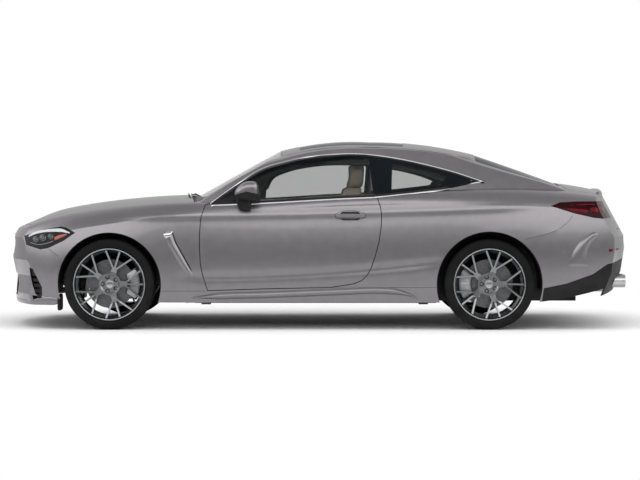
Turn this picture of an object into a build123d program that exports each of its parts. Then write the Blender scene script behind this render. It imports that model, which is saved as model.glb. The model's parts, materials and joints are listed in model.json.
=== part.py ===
"""Two-door fastback coupe: skins, doors, lids, glass, cabin and running gear.

Millimetres. X runs from the nose (-) to the tail (+), Y from the car's left side (-)
to its right side (+), Z up from the ground. The origin is on the ground under the
middle of the car.
"""

import os
from math import cos, radians, sin, tan

from build123d import *

os.makedirs("parts", exist_ok=True)

# ---------------------------------------------------------------- driving dimensions
body_length = 4853
wheelbase = 2875
front_overhang = 848
nose_x = -body_length / 2
tail_x = body_length / 2
front_axle_x = nose_x + front_overhang
rear_axle_x = front_axle_x + wheelbase

# wheels and brakes
tyre_radius = 343
tyre_width_front = 265
tyre_width_rear = 285
bead_radius = 264
rim_flange_radius = 272
rim_narrower = 15  # the rim is narrower than its tyre by this much
wheel_plane_front = 810  # middle of the tread, from the car's middle
wheel_plane_rear = 812
hub_face_offset = 35  # mounting face, outboard of the wheel's middle
spindle_radius = 33.4
running_clearance = 0.05
disc_radius = 185
disc_thickness = 28
lug_circle_diameter = 112
lug_count = 5
spoke_fan = 24  # degrees between neighbouring thin spokes

# steering
steer_angle = 35
kingpin_y = 755

# skins and gaps
skin = 12  # fenders, quarters, bumpers and lids
door_wall = 92
pillar_wall = 38
glass = 5
glass_inset = 3  # glass lies this far under the skin's line
panel_gap = 6
front_arch_radius = 392
rear_arch_radius = 400
liner_wall = 5
far = 1300  # longer than any half width
sliver_volume = 2000  # smaller solids are only cutting leftovers

window_gap = 5
cowl_drop = 20
cowl_wall = 8
boot_bottom_z = 760
lamp_inner_y = 612
slat_pitch = 27
slat_slot = 20
slat = slat_pitch - slat_slot
grille_frame = 6
sail_x = -778
door_glass_rear_x = 386
handle_x = 245
handle_z = 862
handle_length = 226
handle_height = 30
handle_out_y = 925  # outer face of the pull
handle_depth = 18
handle_cup = (170, 74)  # length and height of the finger cup
mirror_out_y = 1042
exhaust_ys = (465, 585)
exhaust_z = 352
exhaust_radius = 50

# lids and doors: hinge lines, pins and travel
pin_clearance = 0.3
door_hinge_x = -795
door_hinge_y = 888
door_inner_y = 740
door_pin_radius = 8
door_pin_length = 120
door_pin_zs = (440, 730)
hinge_pocket = 64
hood_hinge_x = -950
hood_hinge_z = 940
hood_swing_x = -925
hood_lug_y = 690
hood_bracket_y = -676
lug_width = 12
lug_radius = 9
lid_pin_radius = 5
boot_hinge_x = 1752
boot_hinge_z = 1046
boot_arm_y = 520
boot_bracket_y = 566
GOOSENECK = ((0, 0), (69, -161), (130, -178), (190, -110), (215, 60))  # from the pin

# chassis, axles and cabin
floor_z = 200
jack_xs = (-850, 800)
jack_y = 830
jack_z = 188
shelf_z = 772
rail_y = 430
hinge_post_y = 765
liner_in_y = 620
liner_out_y = 945
liner_gap = 0.3
running_gap = 5
drop_radius = 248
bore_depth = 20
arm_low_z = 178  # top of the lower arm
arm_high_z = 508  # underside of the upper arm
strut_y = 590
caliper_arc = 64
wheel_phase = 36
spoke_half = 6.5  # half width of a fork
hub_web_radius = 84
wheel_house_top = 745
hub_face_front = wheel_plane_front + hub_face_offset
hub_face_rear = wheel_plane_rear + hub_face_offset
disc_bell = 31  # from the disc's middle to its seat on the wheel
disc_y_front = hub_face_front - disc_bell
disc_y_rear = hub_face_rear - disc_bell
spindle_end_front = hub_face_front + bore_depth - 4
spindle_end_rear = hub_face_rear + bore_depth - 4
dash_half_width = 660

# Lower body sections. Columns: x; half width and height of the sill edge, of the widest
# line, of the shoulder and of the top edge; height of the crown at the middle.
LOWER_SECTIONS = (
    (-2432, 430, 190, 470, 420, 440, 640, 380, 668, 690),
    (-2335, 590, 185, 640, 430, 590, 660, 470, 735, 778),
    (-2230, 705, 183, 755, 440, 705, 680, 560, 780, 822),
    (-2090, 812, 185, 858, 450, 810, 700, 650, 823, 880),
    (-1900, 892, 190, 930, 480, 885, 745, 700, 868, 926),
    (-1578, 925, 205, 956, 540, 915, 800, 740, 915, 973),
    (-1150, 915, 205, 935, 580, 905, 860, 770, 955, 1008),
    (-700, 905, 205, 928, 610, 893, 890, 790, 962, 1018),
    (0, 905, 205, 930, 630, 888, 925, 800, 1003, 1030),
    (700, 912, 205, 938, 640, 895, 945, 800, 1038, 1060),
    (1296, 935, 205, 967, 650, 925, 940, 790, 1060, 1100),
    (1800, 915, 215, 950, 640, 900, 925, 740, 1045, 1112),
    (2200, 850, 262, 900, 620, 860, 890, 690, 1000, 1052),
    (2432, 760, 300, 820, 600, 780, 860, 630, 940, 985),
)
shoulder_bulge = 18  # the shoulder stands this far out of the chord to the top edge

# Greenhouse plans. Columns: height; x of the windscreen at the middle; x and half width
# of the front corner; half width at the doors; x and half width of the rear corner;
# x of the rear window at the middle.
GREENHOUSE_PLANS = (
    (940, -1075, -930, 788, 832, 2020, 690, 2330),
    (1100, -780, -685, 716, 752, 1760, 640, 1896),
    (1250, -512, -420, 640, 664, 1235, 585, 1480),
    (1345, -336, -245, 588, 603, 960, 545, 1200),
    (1450, -140, -60, 520, 534, 660, 500, 880),
)
greenhouse_mid_x = 200
windscreen_slope = 28.4
backlight_slope = 19.5
side_slope = 60
roof_crown_radius = 2700  # across the car
roof_top = 1435

NOSE_PROFILE = (  # x and height down the middle of the front, from the bottom up
    (-2385, 150), (-2414, 260), (-2402, 400), (nose_x, 520), (-2420, 690),
    (-2375, 765), (-2320, 860), (-2320, 1100),
)
nose_plan_radius = 1500
ROOF_PROFILE = (  # x and height down the middle of the roof, from the screen back
    (-1300, 1130), (-305, 1359), (-49, 1414), (400, roof_top),
    (848, 1407), (1233, 1334), (2500, 1080),
)
TAIL_PROFILE = (  # x and height down the middle of the back, from the bottom up
    (2290, 150), (2400, 420), (tail_x, 600), (2420, 700), (2262, 996), (2238, 1056),
    (2238, 1400),
)
tail_plan_radius = 2300


# ---------------------------------------------------------------- shared shapes
def lower_body(inset, sections=LOWER_SECTIONS):
    """The left half of the lower body as one solid, walls and crown drawn in by inset."""
    with BuildPart() as body:
        for x, sill_w, sill_z, wide_w, wide_z, sh_w, sh_z, top_w, top_z, crown_z in sections:
            bottom_z = sill_z - (60 if inset else 0)
            sill = (inset - sill_w, bottom_z)
            wide = (inset - wide_w, wide_z)
            shoulder = (0.9 * inset - sh_w, sh_z - 0.35 * inset)
            top = (0.45 * inset - top_w, top_z - 0.95 * inset)
            bulge = (
                (shoulder[0] + top[0]) / 2 - shoulder_bulge,
                (shoulder[1] + top[1]) / 2 + shoulder_bulge,
            )
            crown = (0, crown_z - inset)
            with BuildSketch(Plane.YZ.offset(x)):
                with BuildLine():
                    Line((0, bottom_z), sill)
                    ThreePointArc(sill, wide, shoulder)
                    ThreePointArc(shoulder, bulge, top)
                    TangentArc(crown, top, tangent=(-1, 0))
                    Line(crown, (0, bottom_z))
                make_face()
        loft()
        if sections != LOWER_SECTIONS:
            return body.part
        add(end_envelope(NOSE_PROFILE, nose_x, nose_plan_radius, -1, inset), mode=Mode.INTERSECT)
        add(end_envelope(TAIL_PROFILE, tail_x, tail_plan_radius, 1, inset), mode=Mode.INTERSECT)
    return body.part


def end_envelope(profile, end_x, plan_radius, facing, inset):
    """Everything behind the front face or ahead of the back face, curved in plan."""
    axis_x = end_x - facing * plan_radius
    with BuildPart() as envelope:
        with BuildSketch(Plane.XZ.offset(0)):
            with BuildLine():
                Polyline(
                    (axis_x, profile[0][1] - 200),
                    (profile[0][0] - facing * inset, profile[0][1] - 200),
                    *[(x - facing * inset, z) for x, z in profile],
                    (axis_x, profile[-1][1]),
                    close=True,
                )
            make_face()
        revolve(axis=Axis((axis_x, 0, 0), (0, 0, 1)), revolution_arc=360)
        with BuildSketch(Plane.XY.offset(-50)):
            with Locations((axis_x - facing * body_length, 0)):
                Rectangle(2 * body_length, 2 * far)
        extrude(amount=1500)
    return envelope.part


def greenhouse(inset):
    """The left half of the upper body as one solid, drawn in by inset on every side."""
    front_shift = inset / sin(radians(windscreen_slope))
    rear_shift = inset / sin(radians(backlight_slope))
    side_shift = inset / sin(radians(side_slope))
    with BuildPart() as upper:
        for z, front_x, corner_x, corner_w, door_w, rear_corner_x, rear_w, rear_x in GREENHOUSE_PLANS:
            front = (front_x + front_shift, 0)
            corner = (corner_x + front_shift, side_shift - corner_w)
            door = (greenhouse_mid_x, side_shift - door_w)
            back = (rear_corner_x - rear_shift, side_shift - rear_w)
            rear = (rear_x - rear_shift, 0)
            with BuildSketch(Plane.XY.offset(z)):
                with BuildLine():
                    TangentArc(front, corner, tangent=(0, -1))
                    ThreePointArc(corner, door, back)
                    TangentArc(rear, back, tangent=(0, -1))
                    Line(rear, front)
                make_face()
        loft()
        add(roof_envelope(inset), mode=Mode.INTERSECT)
    return upper.part


def roof_envelope(inset):
    """Everything under the roof's own crowned surface."""
    axis_z = roof_top - roof_crown_radius
    drop = [(x, z - inset) for x, z in ROOF_PROFILE]
    with BuildPart() as roof:
        with BuildSketch(Plane.XZ):
            with BuildLine():
                Line((-1300, axis_z), drop[0])
                Line(drop[0], drop[1])
                ThreePointArc(drop[1], drop[2], drop[3])
                ThreePointArc(drop[3], drop[4], drop[5])
                Line(drop[5], drop[6])
                Line(drop[6], (2500, axis_z))
                Line((2500, axis_z), (-1300, axis_z))
            make_face()
        revolve(axis=Axis((0, 0, axis_z), (1, 0, 0)), revolution_arc=360)
    return roof.part


def side_prism(points, y_in=300, y_out=far, gap=0):
    """A side-view outline, grown by gap, pushed through the car's left side."""
    with BuildPart() as prism:
        with BuildSketch(Plane.XZ.offset(y_in)):
            Polygon(*points, align=None)
            if gap:
                offset(amount=gap, kind=Kind.INTERSECTION)
        extrude(amount=y_out - y_in)
    return prism.part


def plan_prism(outline, z_low=500, z_high=1600, gap=0):
    """A plan outline of the left half, grown by gap, pushed straight up."""
    with BuildPart() as prism:
        with BuildSketch(Plane.XY.offset(z_low)):
            Polygon(*outline, align=None)
            if gap:
                offset(amount=gap, kind=Kind.INTERSECTION)
        extrude(amount=z_high - z_low)
    return prism.part


def front_prism(points, gap=0):
    """A front-view outline (y, height) pushed back through the nose."""
    with BuildPart() as prism:
        with BuildSketch(Plane.YZ.offset(-2600)):
            Polygon(*points, align=None)
            if gap:
                offset(amount=gap, kind=Kind.INTERSECTION)
        extrude(amount=500)
    return prism.part


def lug(x, y, z, reach):
    """A round-nosed plate across a lid's pin, running up (or, if negative, down) by reach."""
    with BuildPart() as plate:
        with BuildSketch(Plane.XZ.offset(-y - lug_width / 2)):
            with Locations((x, z)):
                Circle(lug_radius)
            with Locations((x, z + reach / 2)):
                Rectangle(2 * lug_radius, abs(reach))
        extrude(amount=lug_width)
    return plate.part


def gooseneck():
    """The boot lid's left arm: down from its pin, round the edge and up to the lid."""
    path = [(boot_hinge_x + dx, boot_hinge_z + dz) for dx, dz in GOOSENECK]
    with BuildPart() as arm:
        with BuildSketch(Plane.XZ.offset(boot_arm_y - lug_width / 2)):
            with BuildLine():
                Polyline(*path)
            trace(line_width=2 * lug_radius)
            with Locations(*path):
                Circle(lug_radius)
        extrude(amount=lug_width)
        add(low_inner, mode=Mode.INTERSECT)
    return arm.part


def caliper(axle_x, disc_y, facing):
    """A left-hand caliper over the disc, facing 1 behind the axle or -1 ahead of it."""
    axis = Axis((axle_x, 0, tyre_radius), (0, 1, 0))
    y_in, y_out = disc_y - 38, disc_y + 29
    slot = disc_thickness / 2 + running_gap
    with BuildPart() as body:
        with BuildSketch(Plane((axle_x, 0, tyre_radius), x_dir=(facing, 0, 0),
                               z_dir=(0, 0, facing))):
            Polygon(
                (130, -y_in), (230, -y_in), (230, -y_out), (130, -y_out),
                (130, -disc_y - slot), (disc_radius + running_gap, -disc_y - slot),
                (disc_radius + running_gap, -disc_y + slot), (130, -disc_y + slot),
                align=None,
            )
        revolve(axis=axis, revolution_arc=caliper_arc)
    turned = body.part.rotate(axis, -caliper_arc / 2)
    return turned + block(axle_x, axle_x + facing * 160, -y_in - 1, -y_in + 24,
                          tyre_radius - 22, tyre_radius + 22)


def seat(x0, y_mid, width):
    """A front seat: cushion on its base, leaning back, headrest."""
    half = width / 2
    with BuildPart() as chair:
        with BuildSketch(Plane.XZ.offset(-y_mid - half)):
            Polygon((x0, 300), (x0 - 30, 400), (x0, 450), (x0 + 480, 400), (x0 + 610, 1050),
                    (x0 + 720, 1030), (x0 + 640, 560), (x0 + 580, 330), (x0 + 540, 290),
                    align=None)
        extrude(amount=width)
        fillet(chair.edges().filter_by(Axis.Y), 18)
        with BuildSketch(Plane.XZ.offset(-y_mid - half * 0.5)):
            Polygon((x0 + 645, 1060), (x0 + 640, 1190), (x0 + 690, 1235), (x0 + 770, 1225),
                    (x0 + 790, 1180), (x0 + 740, 1055), align=None)
        extrude(amount=half)
        for y in (-0.2, 0.2):
            add(rod((x0 + 675, y_mid + y * width, 1045), (0.15, 0, 1), 7, 60))
        add(block(x0 + 60, x0 + 520, y_mid - half + 60, y_mid + half - 60, floor_z + 14, 320))
    return chair.part


def block(x0, x1, y0, y1, z0, z1):
    """A box between two opposite corners, given in either order."""
    with BuildPart() as box:
        with Locations(((x0 + x1) / 2, (y0 + y1) / 2, (z0 + z1) / 2)):
            Box(abs(x1 - x0), abs(y1 - y0), abs(z1 - z0))
    return box.part


def rod(center, direction, radius, length):
    """A round bar centred on a point."""
    with BuildPart() as bar:
        with BuildSketch(Plane(origin=center, z_dir=direction).offset(-length / 2)):
            Circle(radius)
        extrude(amount=length)
    return bar.part


def other_side(shape):
    """The right-hand twin of a left-hand shape."""
    return mirror(shape, about=Plane.XZ, mode=Mode.PRIVATE)


def save(name, builder):
    """Label a finished piece, without slivers that cuts left, and write its STEP file."""
    solids = [solid for solid in builder.part.solids() if solid.volume > sliver_volume]
    piece = solids[0] if len(solids) == 1 else Compound(solids)
    piece.label = name
    export_step(piece, f"parts/{name}.step")


def save_pair(name, left):
    """Write a left-hand piece and its mirrored right-hand twin."""
    save(f"{name}_left", left)
    with BuildPart() as right:
        add(other_side(left.part), clean=False)
    save(f"{name}_right", right)


def save_whole(name, left):
    """Write a left half joined to its mirror image, or two twins, as one node."""
    with BuildPart() as whole:
        add([left.part, other_side(left.part)], clean=False)
    save(name, whole)


# ---------------------------------------------------------------- split lines
# Side views (x, height) of the pieces that show in profile, left side of the car.
DOOR = (
    (-852, 940), (-884, 843), (-892, 722), (-893, 621), (-886, 500), (-868, 409),
    (-833, 298), (-409, 312), (91, 323), (269, 350), (329, 374), (370, 415), (400, 470),
    (430, 561), (460, 672), (475, 783), (478, 864), (471, 924), (450, 985), (425, 1045),
    (91, 1012), (-400, 985), (-800, 956),
)
WINDOWS = (
    (-824, 952), (-568, 1136), (-416, 1224), (-250, 1273), (-108, 1306), (80, 1327),
    (274, 1335), (480, 1318), (686, 1283), (892, 1235), (1047, 1193), (1198, 1142),
    (1264, 1126), (1092, 1090), (936, 1057), (782, 1040), (420, 1000), (91, 985),
    (-400, 955), (-800, 935),
)
HEADLAMP = (
    (-2258, 703), (-2085, 757), (-1950, 778), (-1905, 770), (-1836, 733), (-1925, 672),
    (-2050, 614), (-2112, 604), (-2235, 636),
)
TAIL_LAMP = (
    (1761, 935), (1830, 962), (1960, 969), (2190, 971), (2330, 960), (2420, 905),
    (2420, 850), (2160, 838), (2085, 846), (1935, 880),
)
FRONT_BUMPER = (
    (-2500, 700), (-2258, 700), (-2235, 633), (-2112, 601), (-2050, 611), (-1935, 540),
    (-1900, 400), (-1900, 100), (-2500, 100),
)
SIDE_INTAKE = (
    (-2205, 465), (-2172, 455), (-2098, 318), (-2098, 254), (-2125, 238), (-2155, 266),
    (-2176, 330), (-2198, 400),
)
REAR_BUMPER = (
    (1553, 682), (1620, 700), (1717, 722), (1816, 758), (1898, 824), (1935, 877),
    (2085, 842), (2160, 834), (2500, 834), (2500, 100), (1450, 100),
)
DIFFUSER = (
    (1690, 180), (1705, 315), (1879, 350), (2080, 420), (2190, 495), (2500, 560),
    (2500, 100), (1690, 100),
)
FENDER = (
    (-2500, 1100), (-2500, 150), (-839, 150), (-839, 298), (-874, 409), (-892, 500),
    (-899, 621), (-898, 722), (-890, 843), (-868, 905), (-905, 960), (-945, 1100),
)
SKIRT = ((-1260, 100), (-1260, 292), (-839, 292), (-409, 306), (91, 317), (950, 320),
         (950, 100))
VENT = ((-1167, 740), (-1105, 738), (-960, 400), (-985, 410), (-1100, 640))
# Front views (y, height): the left half of the grille, and the whole lower intake.
GRILLE = ((10, 736), (10, 548), (-200, 545), (-335, 562), (-425, 640), (-335, 718),
          (-120, 738))
LOWER_INTAKE = ((-400, 405), (-490, 330), (-470, 240), (470, 240), (490, 330), (400, 405))
# Plans (x, y) of the left half, from the front back.
HOOD = ((-2318, 0), (-2290, -300), (-2215, -560), (-2120, -650), (-1950, -700),
        (-1500, -752), (-1050, -770), (-945, -762), (-985, -400), (-1000, 0))
BOOT_LID = ((1884, 0), (1892, -300), (1920, -560), (1970, -606), (2600, -606), (2600, 0))
COWL = ((-1045, 0), (-1030, -400), (-1010, -655), (-880, -655), (-880, -400), (-890, 0))
WINDSCREEN = ((-1060, 0), (-1040, -300), (-962, -620), (-903, -728), (-690, -658),
              (-420, -585), (-268, -535), (-300, 0))
BACKLIGHT = ((1236, 0), (1222, -500), (1560, -545), (1780, -590), (1870, -500),
             (1900, 0))
ROOF_PANEL = ((-262, 0), (-235, -524), (900, -530), (1205, -490), (1226, 0))
ROOF_GLASS = ((-160, 0), (-140, -440), (660, -440), (680, 0))

# ---------------------------------------------------------------- the body's surfaces
low_outer = lower_body(0)
low_inner = lower_body(skin)
low_cowl = lower_body(cowl_drop)
low_cowl_under = lower_body(cowl_drop + cowl_wall)
low_door = lower_body(door_wall, LOWER_SECTIONS[5:11])
up_outer = greenhouse(0)
up_inner = greenhouse(pillar_wall)
glass_layer = greenhouse(glass_inset) - greenhouse(glass_inset + glass)
glazing = glass_layer - low_outer

door_cut = side_prism(DOOR, 620, gap=panel_gap)
window_cut = side_prism(WINDOWS, gap=window_gap)
boot_cut = plan_prism(BOOT_LID, boot_bottom_z - panel_gap, gap=panel_gap)
hood_cut = plan_prism(HOOD, 600, gap=panel_gap)
windscreen_cut = plan_prism(WINDSCREEN, 850)
backlight_cut = plan_prism(BACKLIGHT, 900)
roof_cut = plan_prism(ROOF_PANEL, 1200)
roof_glass_cut = plan_prism(ROOF_GLASS, 1200)
cowl_cut = plan_prism(COWL, 850)
fender_cut = side_prism(FENDER, 300)
skirt_cut = side_prism(SKIRT, 700)
headlamp_cut = side_prism(HEADLAMP, 380)
tail_lamp_cut = side_prism(TAIL_LAMP, lamp_inner_y)
front_bumper_cut = side_prism(FRONT_BUMPER, -far)
rear_bumper_cut = side_prism(REAR_BUMPER, -far)
diffuser_cut = side_prism(DIFFUSER, -far)
arches = [
    rod((front_axle_x, -500, tyre_radius), (0, 1, 0), front_arch_radius, 1000),
    rod((rear_axle_x, -500, tyre_radius), (0, 1, 0), rear_arch_radius, 1000),
]


def remove(*shapes):
    """Cut shapes from the piece being built, all in one operation."""
    add(list(shapes), mode=Mode.SUBTRACT, clean=False)


# the whole pressed shell, lower and upper body in one, wheel arches open
with BuildPart() as shell:
    add([low_outer, up_outer], clean=False)
    remove(low_inner, up_inner, *arches)

# ---------------------------------------------------------------- fixed outer panels
with BuildPart() as pillar:  # slim post behind the side glass
    add(greenhouse(glass_inset + glass + window_gap) & block(402, 440, -far, -560, 900, 1400))
    remove(greenhouse(pillar_wall - 6), door_cut)
with BuildPart() as body_shell:
    add(shell.part, clean=False)
    remove(door_cut, window_cut, fender_cut, skirt_cut, headlamp_cut, tail_lamp_cut, hood_cut,
           boot_cut, windscreen_cut, backlight_cut, roof_cut, cowl_cut, front_bumper_cut,
           rear_bumper_cut)
    add(pillar.part, clean=False)
save_whole("body_shell", body_shell)

with BuildPart() as roof_panel:
    add(shell.part & roof_cut)
    remove(roof_glass_cut)
save_whole("roof_panel", roof_panel)

with BuildPart() as front_fender_left:
    add(shell.part & fender_cut)
    remove(hood_cut, front_bumper_cut, headlamp_cut, skirt_cut, cowl_cut, windscreen_cut)
    # the vent, and room for the bonnet's rear corner as it swings
    remove(side_prism(VENT, 800),
           block(hood_hinge_x - 10, hood_swing_x, -772, -655, 925, 1005))
save_whole("front_fenders", front_fender_left)

with BuildPart() as side_skirt_left:
    add(shell.part & skirt_cut)
save_whole("side_skirts", side_skirt_left)

with BuildPart() as front_bumper:
    add(shell.part & front_bumper_cut)
    remove(hood_cut, headlamp_cut, side_prism(SIDE_INTAKE, 560), front_prism(GRILLE),
           front_prism(LOWER_INTAKE))
save_whole("front_bumper", front_bumper)

with BuildPart() as rear_bumper:
    add(shell.part & rear_bumper_cut)
    remove(boot_cut, diffuser_cut, tail_lamp_cut)
save_whole("rear_bumper", rear_bumper)

with BuildPart() as diffuser:
    add(shell.part & diffuser_cut)
    remove(*[rod((2350, -y, exhaust_z), (1, 0, 0), exhaust_radius, 500) for y in exhaust_ys])
save_whole("diffuser", diffuser)

with BuildPart() as cowl:
    add(low_cowl & cowl_cut)
    remove(low_cowl_under)
save_whole("cowl", cowl)

# ---------------------------------------------------------------- grilles
with BuildPart() as front_grille:
    add(low_inner & front_prism(GRILLE, 8))
    remove(low_cowl_under, front_prism(GRILLE, -grille_frame) - [
        block(-2600, -2000, y - slat / 2, y + slat / 2, 500, 800)
        for y in [-slat_pitch * k for k in range(17)]])
save_whole("front_grille", front_grille)

with BuildPart() as lower_grille:
    add(low_inner & front_prism(LOWER_INTAKE, 8))
    remove(low_cowl_under, front_prism(LOWER_INTAKE, -grille_frame) - [
        block(-2600, -2000, y - slat / 2, y + slat / 2, 200, 450)
        for y in [-slat_pitch * k for k in range(19)]])
with BuildPart() as side_intake:
    add(low_inner & side_prism(SIDE_INTAKE, 560, gap=8))
    remove(low_cowl_under, arches[0], *[
        side_prism(((-2230, z - 9), (-2110, z - 9), (-2130, z + 9), (-2230, z + 9)), 560)
        for z in (270, 310, 350, 390)])
with BuildPart() as lower_grilles:
    add([lower_grille.part, side_intake.part], clean=False)
save_whole("lower_grilles", lower_grilles)

# ---------------------------------------------------------------- glass
with BuildPart() as windscreen:
    add(glass_layer & windscreen_cut)
    remove(low_cowl)
save_whole("windscreen", windscreen)

with BuildPart() as rear_window:
    add(glazing & backlight_cut)
save_whole("rear_window", rear_window)

with BuildPart() as roof_glass:
    add(glass_layer & roof_glass_cut)
save_whole("roof_glass", roof_glass)

with BuildPart() as door_glass_left:
    add(glazing & side_prism(WINDOWS) & block(sail_x, door_glass_rear_x, -far, 0, 900, 1400))
save_pair("door_glass", door_glass_left)

with BuildPart() as quarter_window_left:
    add(glazing & window_cut & block(door_glass_rear_x + window_gap, 1400, -far, 0, 900, 1400))
save_whole("quarter_windows", quarter_window_left)

# ---------------------------------------------------------------- lamps
with BuildPart() as headlamp_left:
    add(low_outer & headlamp_cut)
    remove(low_cowl_under, hood_cut, arches[0])
save_whole("headlamps", headlamp_left)

with BuildPart() as tail_lamp_left:
    add(low_outer & tail_lamp_cut)
    remove(low_cowl_under, boot_cut)
save_whole("tail_lamps", tail_lamp_left)

# ---------------------------------------------------------------- doors, bonnet, boot
# pull handle: a bar on two feet over a finger cup
with BuildPart() as handle_cup_space:
    with BuildSketch(Plane.XZ.offset(handle_out_y)):
        with Locations((handle_x, handle_z)):
            SlotOverall(*handle_cup)
    extrude(amount=-(handle_depth + 36), taper=12)
with BuildPart() as door_handle:
    with BuildSketch(Plane.XZ.offset(handle_out_y - handle_depth)):
        with Locations((handle_x, handle_z)):
            SlotOverall(handle_length, handle_height)
    extrude(amount=handle_depth)
    fillet(door_handle.faces().sort_by(Axis.Y)[0].edges(), 6)
    for end in (-1, 1):
        with BuildSketch(Plane.XZ.offset(handle_out_y - handle_depth - 30)):
            with Locations((handle_x + end * (handle_length - 34) / 2, handle_z)):
                Circle(11)
        extrude(amount=32)
with BuildPart() as door_left:
    add(low_outer & side_prism(DOOR, door_inner_y))
    remove(low_door)
    for z in door_pin_zs:
        remove(block(door_hinge_x - 130, door_hinge_x + 15, -door_hinge_y - 15, -door_inner_y,
                     z - hinge_pocket / 2, z + hinge_pocket / 2))
        remove(rod((door_hinge_x, -door_hinge_y, z), (0, 0, 1),
                   door_pin_radius + pin_clearance, door_pin_length + 2))
    remove(handle_cup_space.part)
    add(door_handle.part)
save_pair("door", door_left)

with BuildPart() as hood:
    add(low_outer & plan_prism(HOOD, 600))
    remove(low_inner)
    add(lug(hood_hinge_x, -hood_lug_y, hood_hinge_z, 60) & low_inner)
    remove(rod((hood_hinge_x, -hood_lug_y, hood_hinge_z), (0, 1, 0),
               lid_pin_radius + pin_clearance, lug_width + 4))
save_whole("hood", hood)

with BuildPart() as boot_lid:
    add(low_outer & plan_prism(BOOT_LID, boot_bottom_z))
    remove(low_inner)
    add(gooseneck())
    remove(rod((boot_hinge_x, -boot_arm_y, boot_hinge_z), (0, 1, 0),
               lid_pin_radius + pin_clearance, lug_width + 4))
save_whole("boot_lid", boot_lid)

# ---------------------------------------------------------------- chassis and liners
# the left half of the welded frame under the skins
with BuildPart() as chassis:
    add(block(-1000, 892, -860, 0, floor_z, floor_z + 14))  # floor
    add(block(-930, 892, -892, -770, floor_z, 296))  # sill
    add(block(-2270, -1000, -rail_y - 30, -rail_y + 30, 320, 430))  # front rail
    add(block(-910, -800, -hinge_post_y, -690, floor_z, 790))  # hinge post
    add(block(490, 570, -790, -690, floor_z, 930))  # latch post
    add(block(-2140, -1000, -900, -470, shelf_z, shelf_z + 12))  # inner wing
    add(block(880, 1990, -600, -588, floor_z, wheel_house_top))  # rear wheel house
    add(block(1600, 1760, -600, -588, 560, 942))
    add(block(880, 892, -900, -588, floor_z, 572))
    add(block(1720, 2080, -900, -588, 560, 572))
    add(block(-1000, -988, -900, 0, floor_z, 1000))  # firewall
    add(block(-2140, -2128, -720, 0, 330, shelf_z + 12))  # radiator support
    add(block(-2400, -2270, -520, 0, 330, 420))  # front beam
    add(block(-2330, -2128, -646, -634, 200, 560))  # end plate behind the side intake
    add(block(-1000, 892, -150, 0, floor_z, 370))  # tunnel
    add(block(880, 892, -600, 0, floor_z, 420))
    add(block(880, 2290, -600, 0, 408, 420))  # boot floor
    add(block(2278, 2290, -640, 0, 408, boot_bottom_z - 30))  # rear panel
    add(block(2290, 2420, -540, 0, 500, 600))  # rear beam
    add(block(1340, 1860, -760, 0, 930, 942))  # parcel shelf
    remove(block(-1001, 880, -138, 10, floor_z - 1, 358),
           block(1500, 1900, -560, 10, 900, 960),
           block(rear_axle_x - 190, rear_axle_x + 90, -610, -580, 230, 400))
    add(low_cowl_under, mode=Mode.INTERSECT, clean=False)
    # seats of the panels that the frame carries
    add(low_inner & block(-1800, -1000, -930, -470, shelf_z, shelf_z + 12))
    add(low_inner & block(-930, 892, -930, -770, floor_z + 6, 296))
    add(low_inner & block(1720, 2080, -960, -588, 560, 572))
    add(low_inner & block(2350, 2420, -400, 0, 520, 580))
    # hinge brackets and pins: door, bonnet, boot
    for z in door_pin_zs:
        add(block(door_hinge_x - 12, door_hinge_x + 12, -door_hinge_y, 5 - hinge_post_y,
                  z - 20, z + 20))
        add(rod((door_hinge_x, -door_hinge_y, z), (0, 0, 1), 12, 40))
        add(rod((door_hinge_x, -door_hinge_y, z), (0, 0, 1), door_pin_radius, door_pin_length))
    add(lug(hood_hinge_x, hood_bracket_y, hood_hinge_z, -40))
    add(block(-990, hood_hinge_x + lug_radius, hood_bracket_y - lug_width / 2,
              hood_bracket_y + lug_width / 2, hood_hinge_z - 60, hood_hinge_z - 30))
    add(rod((hood_hinge_x, (hood_bracket_y - hood_lug_y) / 2, hood_hinge_z), (0, 1, 0),
            lid_pin_radius, hood_lug_y + hood_bracket_y + lug_width))
    add(lug(boot_hinge_x, -boot_bracket_y, boot_hinge_z, 935 - boot_hinge_z))
    add(rod((boot_hinge_x, -(boot_arm_y + boot_bracket_y) / 2, boot_hinge_z), (0, 1, 0),
            lid_pin_radius, boot_bracket_y - boot_arm_y + lug_width))
    # lifting pads
    for x in jack_xs:
        add(block(x - 35, x + 35, -jack_y - 30, -jack_y + 30, jack_z, floor_z))
save_whole("chassis", chassis)

with BuildPart() as wheel_liner_front:
    add(rod((front_axle_x, -(liner_in_y + liner_out_y) / 2, tyre_radius), (0, 1, 0),
            front_arch_radius - liner_gap, liner_out_y - liner_in_y))
    remove(rod((front_axle_x, -700, tyre_radius), (0, 1, 0),
               front_arch_radius - liner_gap - liner_wall, 900),
           block(-3000, 0, -far, far, -100, 300), headlamp_cut)
    add(low_inner, mode=Mode.INTERSECT)
with BuildPart() as wheel_liner_rear:
    add(rod((rear_axle_x, -(liner_in_y + liner_out_y) / 2, tyre_radius), (0, 1, 0),
            rear_arch_radius - liner_gap, liner_out_y - liner_in_y))
    remove(rod((rear_axle_x, -700, tyre_radius), (0, 1, 0),
               rear_arch_radius - liner_gap - liner_wall, 900),
           block(0, 3000, -far, far, -100, 300))
    add(low_inner, mode=Mode.INTERSECT)
with BuildPart() as wheel_liners:
    add([wheel_liner_front.part, wheel_liner_rear.part], clean=False)
save_whole("wheel_liners", wheel_liners)

# ---------------------------------------------------------------- engine and axles
with BuildPart() as engine:
    add(block(-1900, -1060, -270, 270, 300, 700))
    add(block(-1800, -1150, -190, 190, 700, 850))
    add(block(-1060, 400, -80, 80, 240, 352))  # gearbox and shaft in the tunnel
    fillet(engine.edges().filter_by(Axis.X).group_by(Axis.Z)[-1], 30)
save("engine", engine)

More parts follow.
